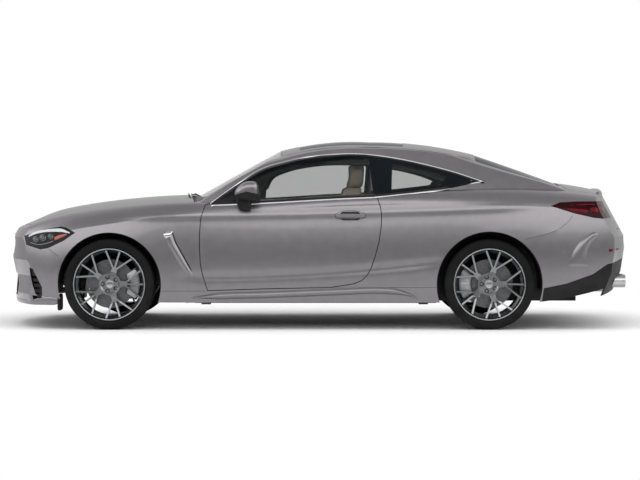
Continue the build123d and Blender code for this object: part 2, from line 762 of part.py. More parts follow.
with BuildPart() as front_subframe:
    add(block(front_axle_x - 200, front_axle_x + 200, -460, 460, 232, 300))
    for side in (-1, 1):
        add(block(front_axle_x - 60, front_axle_x + 60,
                  side * (rail_y - 30), side * (rail_y + 30), 300, 320))
        # lower and upper arm, each with a ball seat for the knuckle
        for z0, z1 in ((arm_low_z - 26, arm_low_z), (arm_high_z, arm_high_z + 26)):
            add(block(front_axle_x - 24, front_axle_x + 24, side * 440, side * kingpin_y, z0, z1))
            add(rod((front_axle_x, side * kingpin_y, (z0 + z1) / 2), (0, 0, 1), 24, 26))
        add(block(front_axle_x - 40, front_axle_x + 40, side * 440, side * 470, arm_low_z - 26, 300))
        add(rod((front_axle_x, side * strut_y, (arm_low_z + shelf_z) / 2), (0, 0, 1), 24,
                shelf_z - arm_low_z))
save("front_subframe", front_subframe)

with BuildPart() as front_knuckle_left:
    add(rod((front_axle_x, -kingpin_y, (arm_low_z + arm_high_z) / 2), (0, 0, 1), 24,
            arm_high_z - arm_low_z - 2 * pin_clearance))
    add(rod((front_axle_x, -(kingpin_y + spindle_end_front) / 2, tyre_radius), (0, 1, 0),
            spindle_radius, spindle_end_front - kingpin_y))
    add(caliper(front_axle_x, disc_y_front, 1))
save_pair("front_knuckle", front_knuckle_left)

with BuildPart() as rear_axle:
    add(block(rear_axle_x - 160, rear_axle_x + 160, -330, 330, 250, 408))
    for side in (-1, 1):
        add(rod((rear_axle_x, side * (300 + spindle_end_rear) / 2, tyre_radius), (0, 1, 0),
                spindle_radius, spindle_end_rear - 300))
        add(rod((rear_axle_x, side * 725, tyre_radius), (0, 1, 0), 75, 60))
        add(block(rear_axle_x - 170, rear_axle_x, side * 320, side * 745, 262, 300))
        add(block(rear_axle_x - 40, rear_axle_x + 40, side * 695, side * 755, 262, 330))
    add(caliper(rear_axle_x, disc_y_rear, -1))
    add(other_side(caliper(rear_axle_x, disc_y_rear, -1)))
save("rear_axle", rear_axle)

with BuildPart() as exhaust:
    add(block(2000, 2240, -610, 610, 270, 408))
    fillet(exhaust.edges().filter_by(Axis.X), 30)
    for y in exhaust_ys:
        for side in (-1, 1):
            add(rod((2300, side * y, exhaust_z), (1, 0, 0), exhaust_radius - 0.3, 140))
            remove(rod((2330, side * y, exhaust_z), (1, 0, 0), exhaust_radius - 5, 100))
save("exhaust", exhaust)


# ---------------------------------------------------------------- wheels
def wheel_body(width, offset):
    """A forked-spoke wheel about Z, outboard face up, middle of the rim at the origin."""
    half = (width - rim_narrower) / 2
    barrel = (
        (rim_flange_radius, half), (rim_flange_radius, half - 7),
        (bead_radius, half - 13), (bead_radius, half - 44), (drop_radius, half - 62),
        (drop_radius, -half + 62), (bead_radius, -half + 44), (bead_radius, -half + 13),
        (rim_flange_radius, -half + 7), (rim_flange_radius, -half),
        (rim_flange_radius - 9, -half), (bead_radius - 9, -half + 16),
        (bead_radius - 9, -half + 42), (drop_radius - 9, -half + 60),
        (drop_radius - 9, half - 60), (bead_radius - 9, half - 42),
        (bead_radius - 9, half - 16), (rim_flange_radius - 9, half),
    )
    dish = (
        (0, offset + 34), (62, offset + 34), (74, offset + 44), (95, offset + 44),
        (150, offset + 52), (bead_radius - 5, half - 12), (bead_radius - 5, half - 40),
        (170, offset + 14), (100, offset), (0, offset),
    )
    with BuildPart() as spokes:
        with BuildSketch(Plane.XZ):
            Polygon(*dish, align=None)
        revolve(axis=Axis.Z)
        with BuildSketch(Plane.XY) as star:
            Circle(hub_web_radius)
            with PolarLocations(0, lug_count, start_angle=wheel_phase):
                Polygon((40, 32), (134, 17), (134, -17), (40, -32), align=None)
                for fan in (-spoke_fan, 0, spoke_fan):
                    tip = (bead_radius * cos(radians(fan)), bead_radius * sin(radians(fan)))
                    across = (spoke_half * sin(radians(fan * 1.7)),
                              -spoke_half * cos(radians(fan * 1.7)))
                    foot = (122, 11 * (fan > 0) - 11 * (fan < 0))
                    Polygon(
                        (foot[0] + across[0], foot[1] + across[1]),
                        (tip[0] + across[0], tip[1] + across[1]),
                        (tip[0] - across[0], tip[1] - across[1]),
                        (foot[0] - across[0], foot[1] - across[1]),
                        align=None,
                    )
        extrude(amount=300, both=True, mode=Mode.INTERSECT)
    with BuildPart() as wheel:
        with BuildSketch(Plane.XZ):
            Polygon(*barrel, align=None)
        revolve(axis=Axis.Z)
        add(spokes.part)
        with Locations((0, 0, offset + 34)):
            with PolarLocations(lug_circle_diameter / 2, lug_count, start_angle=wheel_phase + 36):
                Hole(11, depth=20)
        with BuildSketch(Plane.XY.offset(offset - 1)):
            Circle(spindle_radius + running_clearance)
        extrude(amount=bore_depth + 1, mode=Mode.SUBTRACT)
    return wheel.part


def tyre_body(width):
    """A tyre about Z, its sidewalls bulged and its shoulders rounded."""
    half = width / 2
    with BuildPart() as tyre:
        with BuildSketch(Plane.XZ):
            with BuildLine():
                Line((bead_radius, -half + 24), (bead_radius, half - 24))
                Line((bead_radius, half - 24), (rim_flange_radius + 1, half - 14))
                ThreePointArc((rim_flange_radius + 1, half - 14), (300, half),
                              (326, half - 9))
                ThreePointArc((326, half - 9), (338, half - 19), (tyre_radius - 1, half - 38))
                ThreePointArc((tyre_radius - 1, half - 38), (tyre_radius, 0),
                              (tyre_radius - 1, -half + 38))
                ThreePointArc((tyre_radius - 1, -half + 38), (338, -half + 19),
                              (326, -half + 9))
                ThreePointArc((326, -half + 9), (300, -half),
                              (rim_flange_radius + 1, -half + 14))
                Line((rim_flange_radius + 1, -half + 14), (bead_radius, -half + 24))
            make_face()
        revolve(axis=Axis.Z)
    return tyre.part


def disc_body():
    """A vented brake disc about Z with its bell, friction rings and edge vents."""
    with BuildPart() as disc:
        Cylinder(disc_radius, disc_thickness)
        Cylinder(90, disc_thickness + 30)
        Cylinder(spindle_radius + running_clearance, 200, mode=Mode.SUBTRACT)
        with BuildSketch(Plane.XY.offset(-200)):
            for k in range(3):
                with PolarLocations(118 + 24 * k, 20, start_angle=k * 7):
                    Circle(4)
        extrude(amount=400, mode=Mode.SUBTRACT)
    return disc.part


def placed(shape, x, side, y):
    """A wheel-like shape turned to face outboard at an axle."""
    where = Plane(origin=(x, side * y, tyre_radius), x_dir=(side, 0, 0), z_dir=(0, side, 0))
    return where.location * shape


for axle, x, plane_y, width, disc_y in (
    ("front", front_axle_x, wheel_plane_front, tyre_width_front, disc_y_front),
    ("rear", rear_axle_x, wheel_plane_rear, tyre_width_rear, disc_y_rear),
):
    rim, rubber, rotor = wheel_body(width, hub_face_offset), tyre_body(width), disc_body()
    for side, side_name in ((-1, "left"), (1, "right")):
        with BuildPart() as wheel:
            add(placed(rim, x, side, plane_y))
        save(f"wheel_{axle}_{side_name}", wheel)
        with BuildPart() as tyre:
            add(placed(rubber, x, side, plane_y))
        save(f"tyre_{axle}_{side_name}", tyre)
        with BuildPart() as brake_disc:
            add(placed(rotor, x, side, disc_y))
        save(f"brake_disc_{axle}_{side_name}", brake_disc)

# ---------------------------------------------------------------- cabin
with BuildPart() as dashboard:
    with BuildSketch(Plane.XZ.offset(-dash_half_width)):
        Polygon((-988, 480), (-760, 500), (-640, 620), (-600, 800), (-640, 880), (-760, 915),
                (-988, 925), align=None)
    extrude(amount=2 * dash_half_width)
    add(block(-700, 420, -110, 110, 370, 520))
    add(low_cowl_under, mode=Mode.INTERSECT)
save("dashboard", dashboard)

with BuildPart() as steering_wheel:
    tilt = Plane(origin=(-430, -380, 790), x_dir=(0, 1, 0), z_dir=(0.92, 0, 0.39))
    with BuildSketch(Plane(origin=tilt.origin + tilt.x_dir * 172, x_dir=tilt.x_dir,
                           z_dir=tilt.y_dir)):
        Circle(14)
    revolve(axis=Axis(tilt.origin, tilt.z_dir), revolution_arc=360)
    add(rod(tuple(tilt.origin), tuple(tilt.z_dir), 60, 34))
    for angle in (0, 180, 270):
        with BuildSketch(tilt):
            with Locations(Rot(0, 0, angle) * Pos(108, 0)):
                Rectangle(116, 26)
        extrude(amount=8, both=True)
    add(rod(tuple(tilt.origin - tilt.z_dir * 95), tuple(tilt.z_dir), 26, 190))
    remove(dashboard.part)
save("steering_wheel", steering_wheel)

with BuildPart() as front_seat_left:
    add(seat(-390, -400, 480))
save_whole("front_seats", front_seat_left)

with BuildPart() as rear_seat:
    with BuildSketch(Plane.XZ.offset(-580)):
        Polygon((640, floor_z + 14), (880, floor_z + 14), (880, 420), (1140, 420),
                (1330, 930), (1220, 930), (1040, 500), (640, 430), align=None)
    extrude(amount=1160)
    remove(block(600, 881, -150, 150, floor_z, 370))
save("rear_seat", rear_seat)

# ---------------------------------------------------------------- mirrors
# Columns: y; x and height of the middle; length and height of the head.
MIRROR_SECTIONS = (
    (-872, -535, 1040, 124, 84),
    (-945, -533, 1050, 180, 126),
    (-1000, -533, 1053, 192, 134),
    (-mirror_out_y, -538, 1050, 150, 98),
)
with BuildPart() as mirror_left:
    for y, x, z, length, height in MIRROR_SECTIONS:
        with BuildSketch(Plane.XZ.offset(-y)):
            with Locations((x, z)):
                RectangleRounded(length, height, 0.4 * height)
    loft()
    fillet(mirror_left.faces().sort_by(Axis.Y)[0].edges(), 26)
    remove(block(-458, -400, -mirror_out_y + 24, -905, 1006, 1096))
    with BuildSketch(Plane.XZ.offset(845)):
        Polygon((-622, 930), (-602, 906), (-516, 904), (-506, 1010), (-600, 1010), align=None)
    extrude(amount=90)
    remove(low_outer)
save_pair("mirror", mirror_left)
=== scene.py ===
"""Dressed model of a two-door fastback coupe: paint, glass, lamps, wheels, trim and cabin."""

import json
import logging
import math
from collections.abc import Callable
from dataclasses import dataclass
from enum import Enum

import bpy
import numpy as np
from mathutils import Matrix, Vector

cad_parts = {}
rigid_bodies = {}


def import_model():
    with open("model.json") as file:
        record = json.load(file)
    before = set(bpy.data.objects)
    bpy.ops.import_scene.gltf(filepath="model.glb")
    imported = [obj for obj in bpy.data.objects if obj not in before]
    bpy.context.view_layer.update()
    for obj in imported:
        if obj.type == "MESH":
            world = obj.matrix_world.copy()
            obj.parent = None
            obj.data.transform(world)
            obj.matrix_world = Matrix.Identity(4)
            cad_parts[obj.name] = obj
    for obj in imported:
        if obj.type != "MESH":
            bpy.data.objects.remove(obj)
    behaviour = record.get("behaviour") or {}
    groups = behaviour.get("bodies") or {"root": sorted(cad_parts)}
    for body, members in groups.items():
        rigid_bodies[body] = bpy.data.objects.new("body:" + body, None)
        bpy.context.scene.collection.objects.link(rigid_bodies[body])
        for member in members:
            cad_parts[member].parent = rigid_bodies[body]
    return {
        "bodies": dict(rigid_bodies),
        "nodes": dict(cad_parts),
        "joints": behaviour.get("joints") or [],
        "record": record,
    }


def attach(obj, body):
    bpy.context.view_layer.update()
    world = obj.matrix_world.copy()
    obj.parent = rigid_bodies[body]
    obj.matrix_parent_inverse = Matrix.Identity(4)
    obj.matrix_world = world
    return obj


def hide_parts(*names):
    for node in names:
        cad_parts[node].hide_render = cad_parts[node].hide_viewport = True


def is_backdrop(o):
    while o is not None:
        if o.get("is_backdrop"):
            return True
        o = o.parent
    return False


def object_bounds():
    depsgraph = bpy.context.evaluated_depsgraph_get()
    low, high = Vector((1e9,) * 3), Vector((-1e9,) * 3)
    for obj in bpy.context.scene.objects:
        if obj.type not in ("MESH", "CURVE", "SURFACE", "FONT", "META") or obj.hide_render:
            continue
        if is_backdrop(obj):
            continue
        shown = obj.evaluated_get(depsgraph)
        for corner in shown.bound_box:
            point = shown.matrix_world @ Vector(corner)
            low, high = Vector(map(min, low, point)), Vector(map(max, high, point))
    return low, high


log = logging.getLogger("coupe")

FRONT_AXLE_X = -1.5785
REAR_AXLE_X = 1.2965
WHEEL_Z = 0.343
TYRE_R = 0.343
SIDES = {"left": -1.0, "right": 1.0}
PLANES = {"Y": (0, 2), "Z": (0, 1), "X": (1, 2)}
TINY = 0.02  # what an end or a middle is scaled to where it closes a form


# ------------------------------------------------------------------ materials
@dataclass(frozen=True)
class Finish:
    """Constant settings of one material's Principled shader.

    Args:
        color: linear base colour.
        metallic: metallic weight.
        roughness: base roughness.
        coat: clear coat weight.
        alpha: opacity.
        dust: how much road dust settles low on the car, 0 to 1.
        grain: height of the fine grain, in metres.
        grain_scale: grain cells per metre.
        emission: emission strength of the base colour.
        specular: specular level of the base.
        slot: a material slot name of the record; not used.
    """

    color: tuple[float, float, float]
    metallic: float = 0.0
    roughness: float = 0.5
    coat: float = 0.0
    alpha: float = 1.0
    dust: float = 0.0
    grain: float = 0.0
    grain_scale: float = 400.0
    emission: float = 0.0
    specular: float = 0.5
    slot: str = "black_trim"


class Look(Enum):
    """Every finish on the car."""

    PAINT = Finish((0.235, 0.222, 0.234), metallic=0.85, roughness=0.32, coat=0.5, dust=0.06,
                   slot="paint")
    SEAM = Finish((0.012, 0.012, 0.013), roughness=0.7)
    BLACK = Finish((0.011, 0.011, 0.012), roughness=0.52, dust=0.03, specular=0.2, grain=0.00015,
                   grain_scale=900)
    GLOSS_BLACK = Finish((0.006, 0.006, 0.007), roughness=0.12, coat=1.0, slot="headlamp")
    CHROME = Finish((0.66, 0.66, 0.67), metallic=1.0, roughness=0.14, slot="chrome")
    SATIN = Finish((0.55, 0.55, 0.56), metallic=1.0, roughness=0.3, slot="chrome")
    GLASS = Finish((0.03, 0.036, 0.036), roughness=0.02, alpha=0.22, specular=0.35)
    DARK_GLASS = Finish((0.010, 0.016, 0.020), roughness=0.06, specular=0.02)
    FRIT = Finish((0.007, 0.009, 0.011), roughness=0.10, specular=0.06)
    REAR_GLASS = Finish((0.010, 0.013, 0.015), roughness=0.04, alpha=0.85, specular=0.04)
    LAMP_BLACK = Finish((0.009, 0.010, 0.012), roughness=0.08, specular=0.12)
    LAMP_WHITE = Finish((0.55, 0.57, 0.60), roughness=0.2, coat=0.5, emission=0.05,
                        slot="headlamp")
    LAMP_SILVER = Finish((0.20, 0.21, 0.22), metallic=1.0, roughness=0.25, slot="headlamp")
    LAMP_AMBER = Finish((0.34, 0.065, 0.03), roughness=0.2, coat=0.3, slot="headlamp")
    LAMP_RED = Finish((0.022, 0.002, 0.004), roughness=0.08, specular=0.10)
    LAMP_RED_BRIGHT = Finish((0.12, 0.002, 0.008), roughness=0.2, specular=0.15, slot="tail_lamp")
    ALLOY = Finish((0.27, 0.28, 0.285), metallic=1.0, roughness=0.26, dust=0.05)
    ALLOY_EDGE = Finish((0.42, 0.43, 0.44), metallic=1.0, roughness=0.22, dust=0.05, slot="alloy")
    TYRE = Finish((0.007, 0.007, 0.0075), roughness=0.8, dust=0.03, specular=0.15, grain=0.0002,
                  grain_scale=700, slot="tyre")
    IRON = Finish((0.15, 0.15, 0.155), metallic=1.0, roughness=0.36, dust=0.08)
    STEEL = Finish((0.016, 0.016, 0.017), metallic=0.2, roughness=0.7, dust=0.10)
    CALIPER = Finish((0.40, 0.41, 0.42), metallic=0.5, roughness=0.35, dust=0.05, slot="caliper")
    LEATHER = Finish((0.50, 0.43, 0.34), roughness=0.55, grain=0.0003, grain_scale=520,
                     slot="leather")
    DASH = Finish((0.030, 0.029, 0.028), roughness=0.62, grain=0.0002, grain_scale=650,
                  slot="dash")
    LINING = Finish((0.020, 0.019, 0.019), roughness=0.85, grain=0.0003, grain_scale=1200,
                    slot="dash")


class Value:
    """A node's output that takes part in arithmetic, through Math nodes.

    Args:
        nodes: the tree's helper.
        socket: the output.
    """

    def __init__(self, nodes: "Nodes", socket: bpy.types.NodeSocket) -> None:
        self.nodes, self.socket = nodes, socket

    def __add__(self, other: object) -> "Value":
        return self.nodes.math("ADD", self, other)

    def __sub__(self, other: object) -> "Value":
        return self.nodes.math("SUBTRACT", self, other)

    def __mul__(self, other: object) -> "Value":
        return self.nodes.math("MULTIPLY", self, other)

    def __truediv__(self, other: object) -> "Value":
        return self.nodes.math("DIVIDE", self, other)

    def __abs__(self) -> "Value":
        return self.nodes.math("ABSOLUTE", self)


class Nodes:
    """A small helper around one node tree.

    Args:
        tree: the node tree that new nodes are added to.
    """

    def __init__(self, tree: bpy.types.NodeTree) -> None:
        self.tree = tree

    def new(self, kind: str, **settings: object) -> bpy.types.Node:
        """Adds a node of a Blender type and sets its properties."""
        node = self.tree.nodes.new(kind)
        for name, value in settings.items():
            setattr(node, name, value)
        return node

    def feed(self, socket: bpy.types.NodeSocket, value: object) -> None:
        """Links a value to an input, or sets the input where the value is constant."""
        if isinstance(value, Value):
            self.tree.links.new(value.socket, socket)
        else:
            socket.default_value = value

    def math(self, operation: str, a: object, b: object = 0.0) -> Value:
        """Adds a Math node on values or numbers."""
        node = self.new("ShaderNodeMath", operation=operation)
        self.feed(node.inputs[0], a)
        self.feed(node.inputs[1], b)
        return Value(self, node.outputs[0])

    def ramp(self, fac: Value, low: float, high: float, out_low: float = 0.0,
             out_high: float = 1.0) -> Value:
        """Maps a value smoothly from one range to another."""
        node = self.new("ShaderNodeMapRange", interpolation_type="SMOOTHSTEP")
        for name, value in (("Value", fac), ("From Min", low), ("From Max", high),
                            ("To Min", out_low), ("To Max", out_high)):
            self.feed(node.inputs[name], value)
        return Value(self, node.outputs["Result"])

    def place(self, space: str = "Object") -> Value:
        """The coordinates of the point that is shaded."""
        return Value(self, self.new("ShaderNodeTexCoord").outputs[space])

    def ray(self, kind: str) -> Value:
        """1 for rays of one kind, such as "Is Camera Ray", and 0 for others."""
        return Value(self, self.new("ShaderNodeLightPath").outputs[kind])

    def axes(self, space: str = "Object") -> list[Value]:
        """Those coordinates as x, y and z."""
        split = self.new("ShaderNodeSeparateXYZ")
        self.feed(split.inputs[0], self.place(space))
        return [Value(self, out) for out in split.outputs]

    def texture(self, kind: str, out: str, **inputs: float) -> Value:
        """Adds a texture on Object coordinates and returns one of its outputs."""
        node = self.new(f"ShaderNodeTex{kind}")
        self.feed(node.inputs["Vector"], self.place())
        for name, value in inputs.items():
            self.feed(node.inputs[name], value)
        return Value(self, node.outputs[out])

    def mix(self, factor: object, a: object, b: object, blend: str = "MIX") -> Value:
        """Mixes two colours."""
        node = self.new("ShaderNodeMix", data_type="RGBA", blend_type=blend)
        for name, value in (("Factor", factor), ("A", a), ("B", b)):
            self.feed(node.inputs[name], value)
        return Value(self, node.outputs["Result"])

    def group(self, tree: bpy.types.NodeTree, **inputs: object) -> list[Value]:
        """Places a node group and returns its outputs."""
        node = self.new("ShaderNodeGroup", node_tree=tree)
        for name, value in inputs.items():
            self.feed(node.inputs[name], value)
        return [Value(self, out) for out in node.outputs]


class GroupLibrary:
    """Builds the node groups that several materials share."""

    def __init__(self) -> None:
        self.dust, self.creases, self.grain = self._dust(), self._creases(), self._grain()

    @staticmethod
    def _group(name: str, inputs: dict, outputs: tuple) -> tuple:
        """Starts a group.

        Args:
            name: its name.
            inputs: label and default of each input.
            outputs: labels of the outputs.

        Returns:
            Its helper, its inputs as values by label, and the sockets of its output node.
        """
        tree = bpy.data.node_groups.new(name, "ShaderNodeTree")
        for way, labels in (("INPUT", inputs), ("OUTPUT", outputs)):
            for label in labels:
                kind = "NodeSocketColor" if label == "Color" else "NodeSocketFloat"
                socket = tree.interface.new_socket(label, in_out=way, socket_type=kind)
                if way == "INPUT":
                    socket.default_value = inputs[label]
        n = Nodes(tree)
        source = n.new("NodeGroupInput")
        given = {label: Value(n, source.outputs[label]) for label in inputs}
        return n, given, n.new("NodeGroupOutput").inputs

    def _dust(self) -> bpy.types.NodeTree:
        """Road dust: a pale film that thins out with height and breaks up in patches."""
        n, given, out = self._group(
            "road_dust", {"Color": (0.5, 0.5, 0.5, 1), "Roughness": 0.5, "Amount": 0.2},
            ("Color", "Roughness"))
        patches = n.texture("Noise", "Fac", Scale=9.0, Detail=6.0)
        mask = n.ramp(n.axes()[2], 0.75, 0.05) * n.ramp(patches, 0.35, 0.7) * given["Amount"]
        n.feed(out["Color"], n.mix(mask, given["Color"], (0.36, 0.33, 0.29, 1)))
        n.feed(out["Roughness"], given["Roughness"] + mask * 0.4)
        return n.tree

    def _creases(self) -> bpy.types.NodeTree:
        """Two pressed lines along each side, as a height.

        Each is a ridge h exp(-((z - f(x)) / w)^2) on the curve f(x) = a + b x + c x^2,
        faded out by smooth steps near its ends.
        """
        n, _, out = self._group("pressed_lines", {}, ("Height",))
        x, y, z = n.axes()
        parts = []
        for a, b, c, width, height, start, end in (
                (0.8785, 0.0225, 0.006, 0.030, 0.0060, -1.45, 1.60),
                (0.4268, 0.0627, 0.034, 0.034, -0.0075, -1.02, 0.95)):
            offset = (z - ((x * c + b) * x + a)) / width
            fade = n.ramp(x, start - 0.15, start + 0.25) * n.ramp(x, end + 0.15, end - 0.25)
            parts.append(n.math("EXPONENT", offset * offset * -1.0) * fade * height)
        n.feed(out["Height"], (parts[0] + parts[1]) * n.ramp(abs(y), 0.70, 0.80))
        return n.tree

    def _grain(self) -> bpy.types.NodeTree:
        """Pebbled grain of moulded plastic, rubber and leather, as a height."""
        n, given, out = self._group("pebble_grain", {"Scale": 400.0, "Height": 0.0002},
                                    ("Height",))
        cells = n.texture("Voronoi", "Distance", Scale=given["Scale"])
        n.feed(out["Height"], n.ramp(cells, 0.75, 0.1) * given["Height"])
        return n.tree


class MaterialShop:
    """Makes each finish's material once and hands it out.

    Args:
        groups: the shared node groups.
    """

    def __init__(self, groups: GroupLibrary) -> None:
        self.groups = groups
        self.made: dict[Look, bpy.types.Material] = {}

    def get(self, look: Look) -> bpy.types.Material:
        """Returns the material of a look, making it on first use."""
        if look not in self.made:
            self.made[look] = self._make(look)
        return self.made[look]

    def _make(self, look: Look) -> bpy.types.Material:
        """A clouded base colour with dust; the paint has flakes and pressed lines too."""
        finish = look.value
        material = bpy.data.materials.new(look.name.lower())
        material.use_nodes = True
        n = Nodes(material.node_tree)
        into = material.node_tree.nodes["Principled BSDF"].inputs
        cells = 30.0 if look is Look.LEATHER else 14.0
        cloud = n.texture("Noise", "Fac", Scale=cells, Detail=5.0)
        tone = n.ramp(cloud, 0.2, 0.8, 0.96, 1.04)
        color = n.mix(1.0, (*finish.color, 1), tone, "MULTIPLY")
        height = None
        if finish.grain:
            height, = n.group(self.groups.grain, Scale=finish.grain_scale,
                              Height=finish.grain)
        if look is Look.PAINT:
            flakes = n.texture("Voronoi", "Color", Scale=1600.0)
            color = n.mix(1.0, color, n.ramp(flakes, 0.0, 1.0, 0.93, 1.07), "MULTIPLY")
            height, = n.group(self.groups.creases)
        tint, rough = n.group(self.groups.dust, Amount=finish.dust, Color=color,
                              Roughness=tone * finish.roughness)
        fed = {"Metallic": finish.metallic, "Coat Weight": finish.coat, "Alpha": finish.alpha,
               "Specular IOR Level": finish.specular, "Base Color": tint, "Roughness": rough}
        if height:
            bump = n.new("ShaderNodeBump")
            n.feed(bump.inputs["Distance"], 1.0)
            n.feed(bump.inputs["Height"], height)
            fed["Normal"] = Value(n, bump.outputs["Normal"])
        if finish.emission:
            fed.update({"Emission Color": color, "Emission Strength": finish.emission})
        for name, value in fed.items():
            n.feed(into[name], value)
        return material


# ------------------------------------------------------------------ mesh tools
def link_object(name: str, data: bpy.types.ID) -> bpy.types.Object:
    """Makes an object of some data and links it to the scene."""
    made = bpy.data.objects.new(name, data)
    bpy.context.scene.collection.objects.link(made)
    return made


def mesh_object(name: str, points: np.ndarray, faces: np.ndarray,
                material: bpy.types.Material) -> bpy.types.Object:
    """Makes a smooth-shaded object.

    Args:
        name: its name.
        points: (..., 3) vertex places in metres.
        faces: (m, 4) vertex numbers.
        material: its material.

    Returns:
        The new object, linked to the scene.
    """
    mesh = bpy.data.meshes.new(name)
    mesh.from_pydata(points.reshape(-1, 3).tolist(), [], faces.tolist())
    mesh.polygons.foreach_set("use_smooth", np.full(len(mesh.polygons), True))
    mesh.materials.append(material)
    mesh.validate()
    return link_object(name, mesh)


class MeshTools:
    """Adds pieces to the car and projects points onto CAD nodes.

    Args:
        shop: the materials.
    """

    def __init__(self, frame: dict, shop: MaterialShop) -> None:
        self.nodes, self.shop, self.count = frame["nodes"], shop, 0

    def add(self, name: str, points: np.ndarray, faces: np.ndarray, look: Look,
            body: str = "body", slot: str = "") -> bpy.types.Object:
        """Makes a piece from vertices and faces, and rides it on a body.

        Args:
            name: the piece's name.
            points: (..., 3) vertex places in metres.
            faces: (m, 4) vertex numbers.
            look: its finish.
            body: the CAD body it rides on.
            slot: not used.

        Returns:
            The new object.
        """
        piece = mesh_object(name, points, faces, self.shop.get(look))
        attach(piece, body)
        slot or look.value.slot
        self.count += 1
        log.info("%s: %d points on %s", name, len(piece.data.vertices), body)
        return piece

    def pair(self, name: str, points: np.ndarray, faces: np.ndarray, look: Look,
             body: str = "body", slot: str = "", sides: tuple = tuple(SIDES)) -> list:
        """Adds a left-hand piece and its mirror image on the right.

        Args:
            name: the piece's name, before its side.
            points: (..., 3) vertex places of the left one.
            faces: its faces.
            look: its finish.
            body: the body it rides on; {s} stands for left or right.
            slot: its material slot, where that isn't its finish's.
            sides: the sides that have it.

        Returns:
            The new objects.
        """
        return [self.add(f"{name}_{side}", points * (1, -SIDES[side], 1),
                         faces if side == "left" else faces[:, ::-1], look,
                         body.format(s=side), slot) for side in sides]

    def project(self, points: np.ndarray, axis: str, targets: list, start: float,
                facing: float = 0.0) -> np.ndarray:
        """Slides points along an axis until they meet a CAD node.

        Args:
            points: (..., 3) points; the coordinate along axis is ignored.
            axis: "X", "Y" or "Z".
            targets: CAD nodes to meet; {s} stands for left.
            start: the axis coordinate they start from.
            facing: 1 or -1, the way they go; 0 means towards the car's middle.

        Returns:
            Points on the first surface met, with nan where nothing was.
        """
        k = "XYZ".index(axis)
        way = facing or -np.sign(start)
        flat = np.array(points, float).reshape(-1, 3)
        flat[:, k] = start
        best = np.full(len(flat), np.nan)
        mesh = bpy.data.meshes.new("probe")
        mesh.vertices.add(len(flat))
        mesh.vertices.foreach_set("co", flat.astype(np.float32).ravel())
        probe = link_object("probe", mesh)
        wrap = probe.modifiers.new("wrap", "SHRINKWRAP")
        wrap.wrap_method = "PROJECT"
        wrap.use_project_x, wrap.use_project_y, wrap.use_project_z = (k == 0, k == 1, k == 2)
        wrap.use_positive_direction = bool(way > 0)
        wrap.use_negative_direction = bool(way < 0)
        for target in targets:
            wrap.target = self.nodes[target.format(s="left")]
            result = probe.evaluated_get(bpy.context.evaluated_depsgraph_get()).data
            found = np.zeros(len(flat) * 3, np.float32)
            result.vertices.foreach_get("co", found)
            value = found.reshape(-1, 3)[:, k].astype(float)
            value[np.abs(value - start) < 1e-6] = np.nan
            best = np.fmin(best, value) if way > 0 else np.fmax(best, value)
        bpy.data.objects.remove(probe)
        bpy.data.meshes.remove(mesh)
        if np.isnan(best).all():
            raise ValueError(f"no point met {targets}")
        flat[:, k] = best
        return flat.reshape(np.shape(points))


def spread(flat: np.ndarray, axis: str) -> np.ndarray:
    """Points in space from points of the plane across an axis, with 0 along it."""
    grid = np.zeros((*flat.shape[:-1], 3))
    grid[..., list(PLANES[axis])] = flat
    return grid


def length(line: list) -> float:
    """Length of a polyline."""
    return float(np.linalg.norm(np.diff(np.asarray(line, float), axis=0), axis=1).sum())


def level(first: np.ndarray, second: np.ndarray) -> tuple[np.ndarray, np.ndarray]:
    """Grids of two coordinates, the first along the rows."""
    return tuple(np.meshgrid(first, second, indexing="ij"))


def settle(values: np.ndarray, degree: tuple[int, int]) -> np.ndarray:
    """Fits a smooth surface through grid values, leaving out gaps and steps.

    A least-squares sum of Chebyshev products T_i(u) T_j(v) is refitted four times, each
    time without the samples that lie over 1.5 mm from it.

    Args:
        values: (rows, columns) samples, nan where there is none.
        degree: highest degrees along the rows and the columns.

    Returns:
        The fitted values on the same grid.
    """
    u, v = (np.linspace(-1, 1, size) for size in values.shape)
    basis = np.einsum("ai,bj->abij", np.polynomial.chebyshev.chebvander(u, degree[0]),
                      np.polynomial.chebyshev.chebvander(v, degree[1]))
    basis = basis.reshape(values.size, -1)
    flat = values.ravel()
    keep = ~np.isnan(flat)
    known = keep.copy()
    for limit in (0.012, 0.005, 0.0025, 0.0015):
        fitted = basis @ np.linalg.lstsq(basis[keep], flat[keep], rcond=None)[0]
        near = known & (np.abs(np.nan_to_num(flat) - fitted) < limit)
        keep = near if near.sum() > 0.4 * known.sum() else keep
    fitted = basis @ np.linalg.lstsq(basis[keep], flat[keep], rcond=None)[0]
    return fitted.reshape(values.shape)


def plane_fit(points: np.ndarray, i: int, j: int, k: int) -> np.ndarray:
    """Heights of the quadric a + b p + c q + d p^2 + e p q + f q^2 fitted to points."""
    p, q = points[..., i].ravel(), points[..., j].ravel()
    p0, q0 = p - p.mean(), q - q.mean()
    basis = np.stack([np.ones_like(p), p0, q0, p0 * p0, p0 * q0, q0 * q0], axis=1)
    value = points[..., k].ravel()
    good = ~np.isnan(value)
    return (basis @ np.linalg.lstsq(basis[good], value[good], rcond=None)[0]).reshape(
        points.shape[:-1])


def grid_faces(rows: int, columns: int, closed_columns: bool = False,
               closed_rows: bool = False) -> np.ndarray:
    """Quads of a rows by columns grid of vertices, wrapped round where asked."""
    i, j = level(np.arange(rows if closed_rows else rows - 1),
                 np.arange(columns if closed_columns else columns - 1))
    i2, j2 = (i + 1) % rows, (j + 1) % columns
    return np.stack([i * columns + j, i * columns + j2, i2 * columns + j2, i2 * columns + j],
                    axis=-1).reshape(-1, 4)


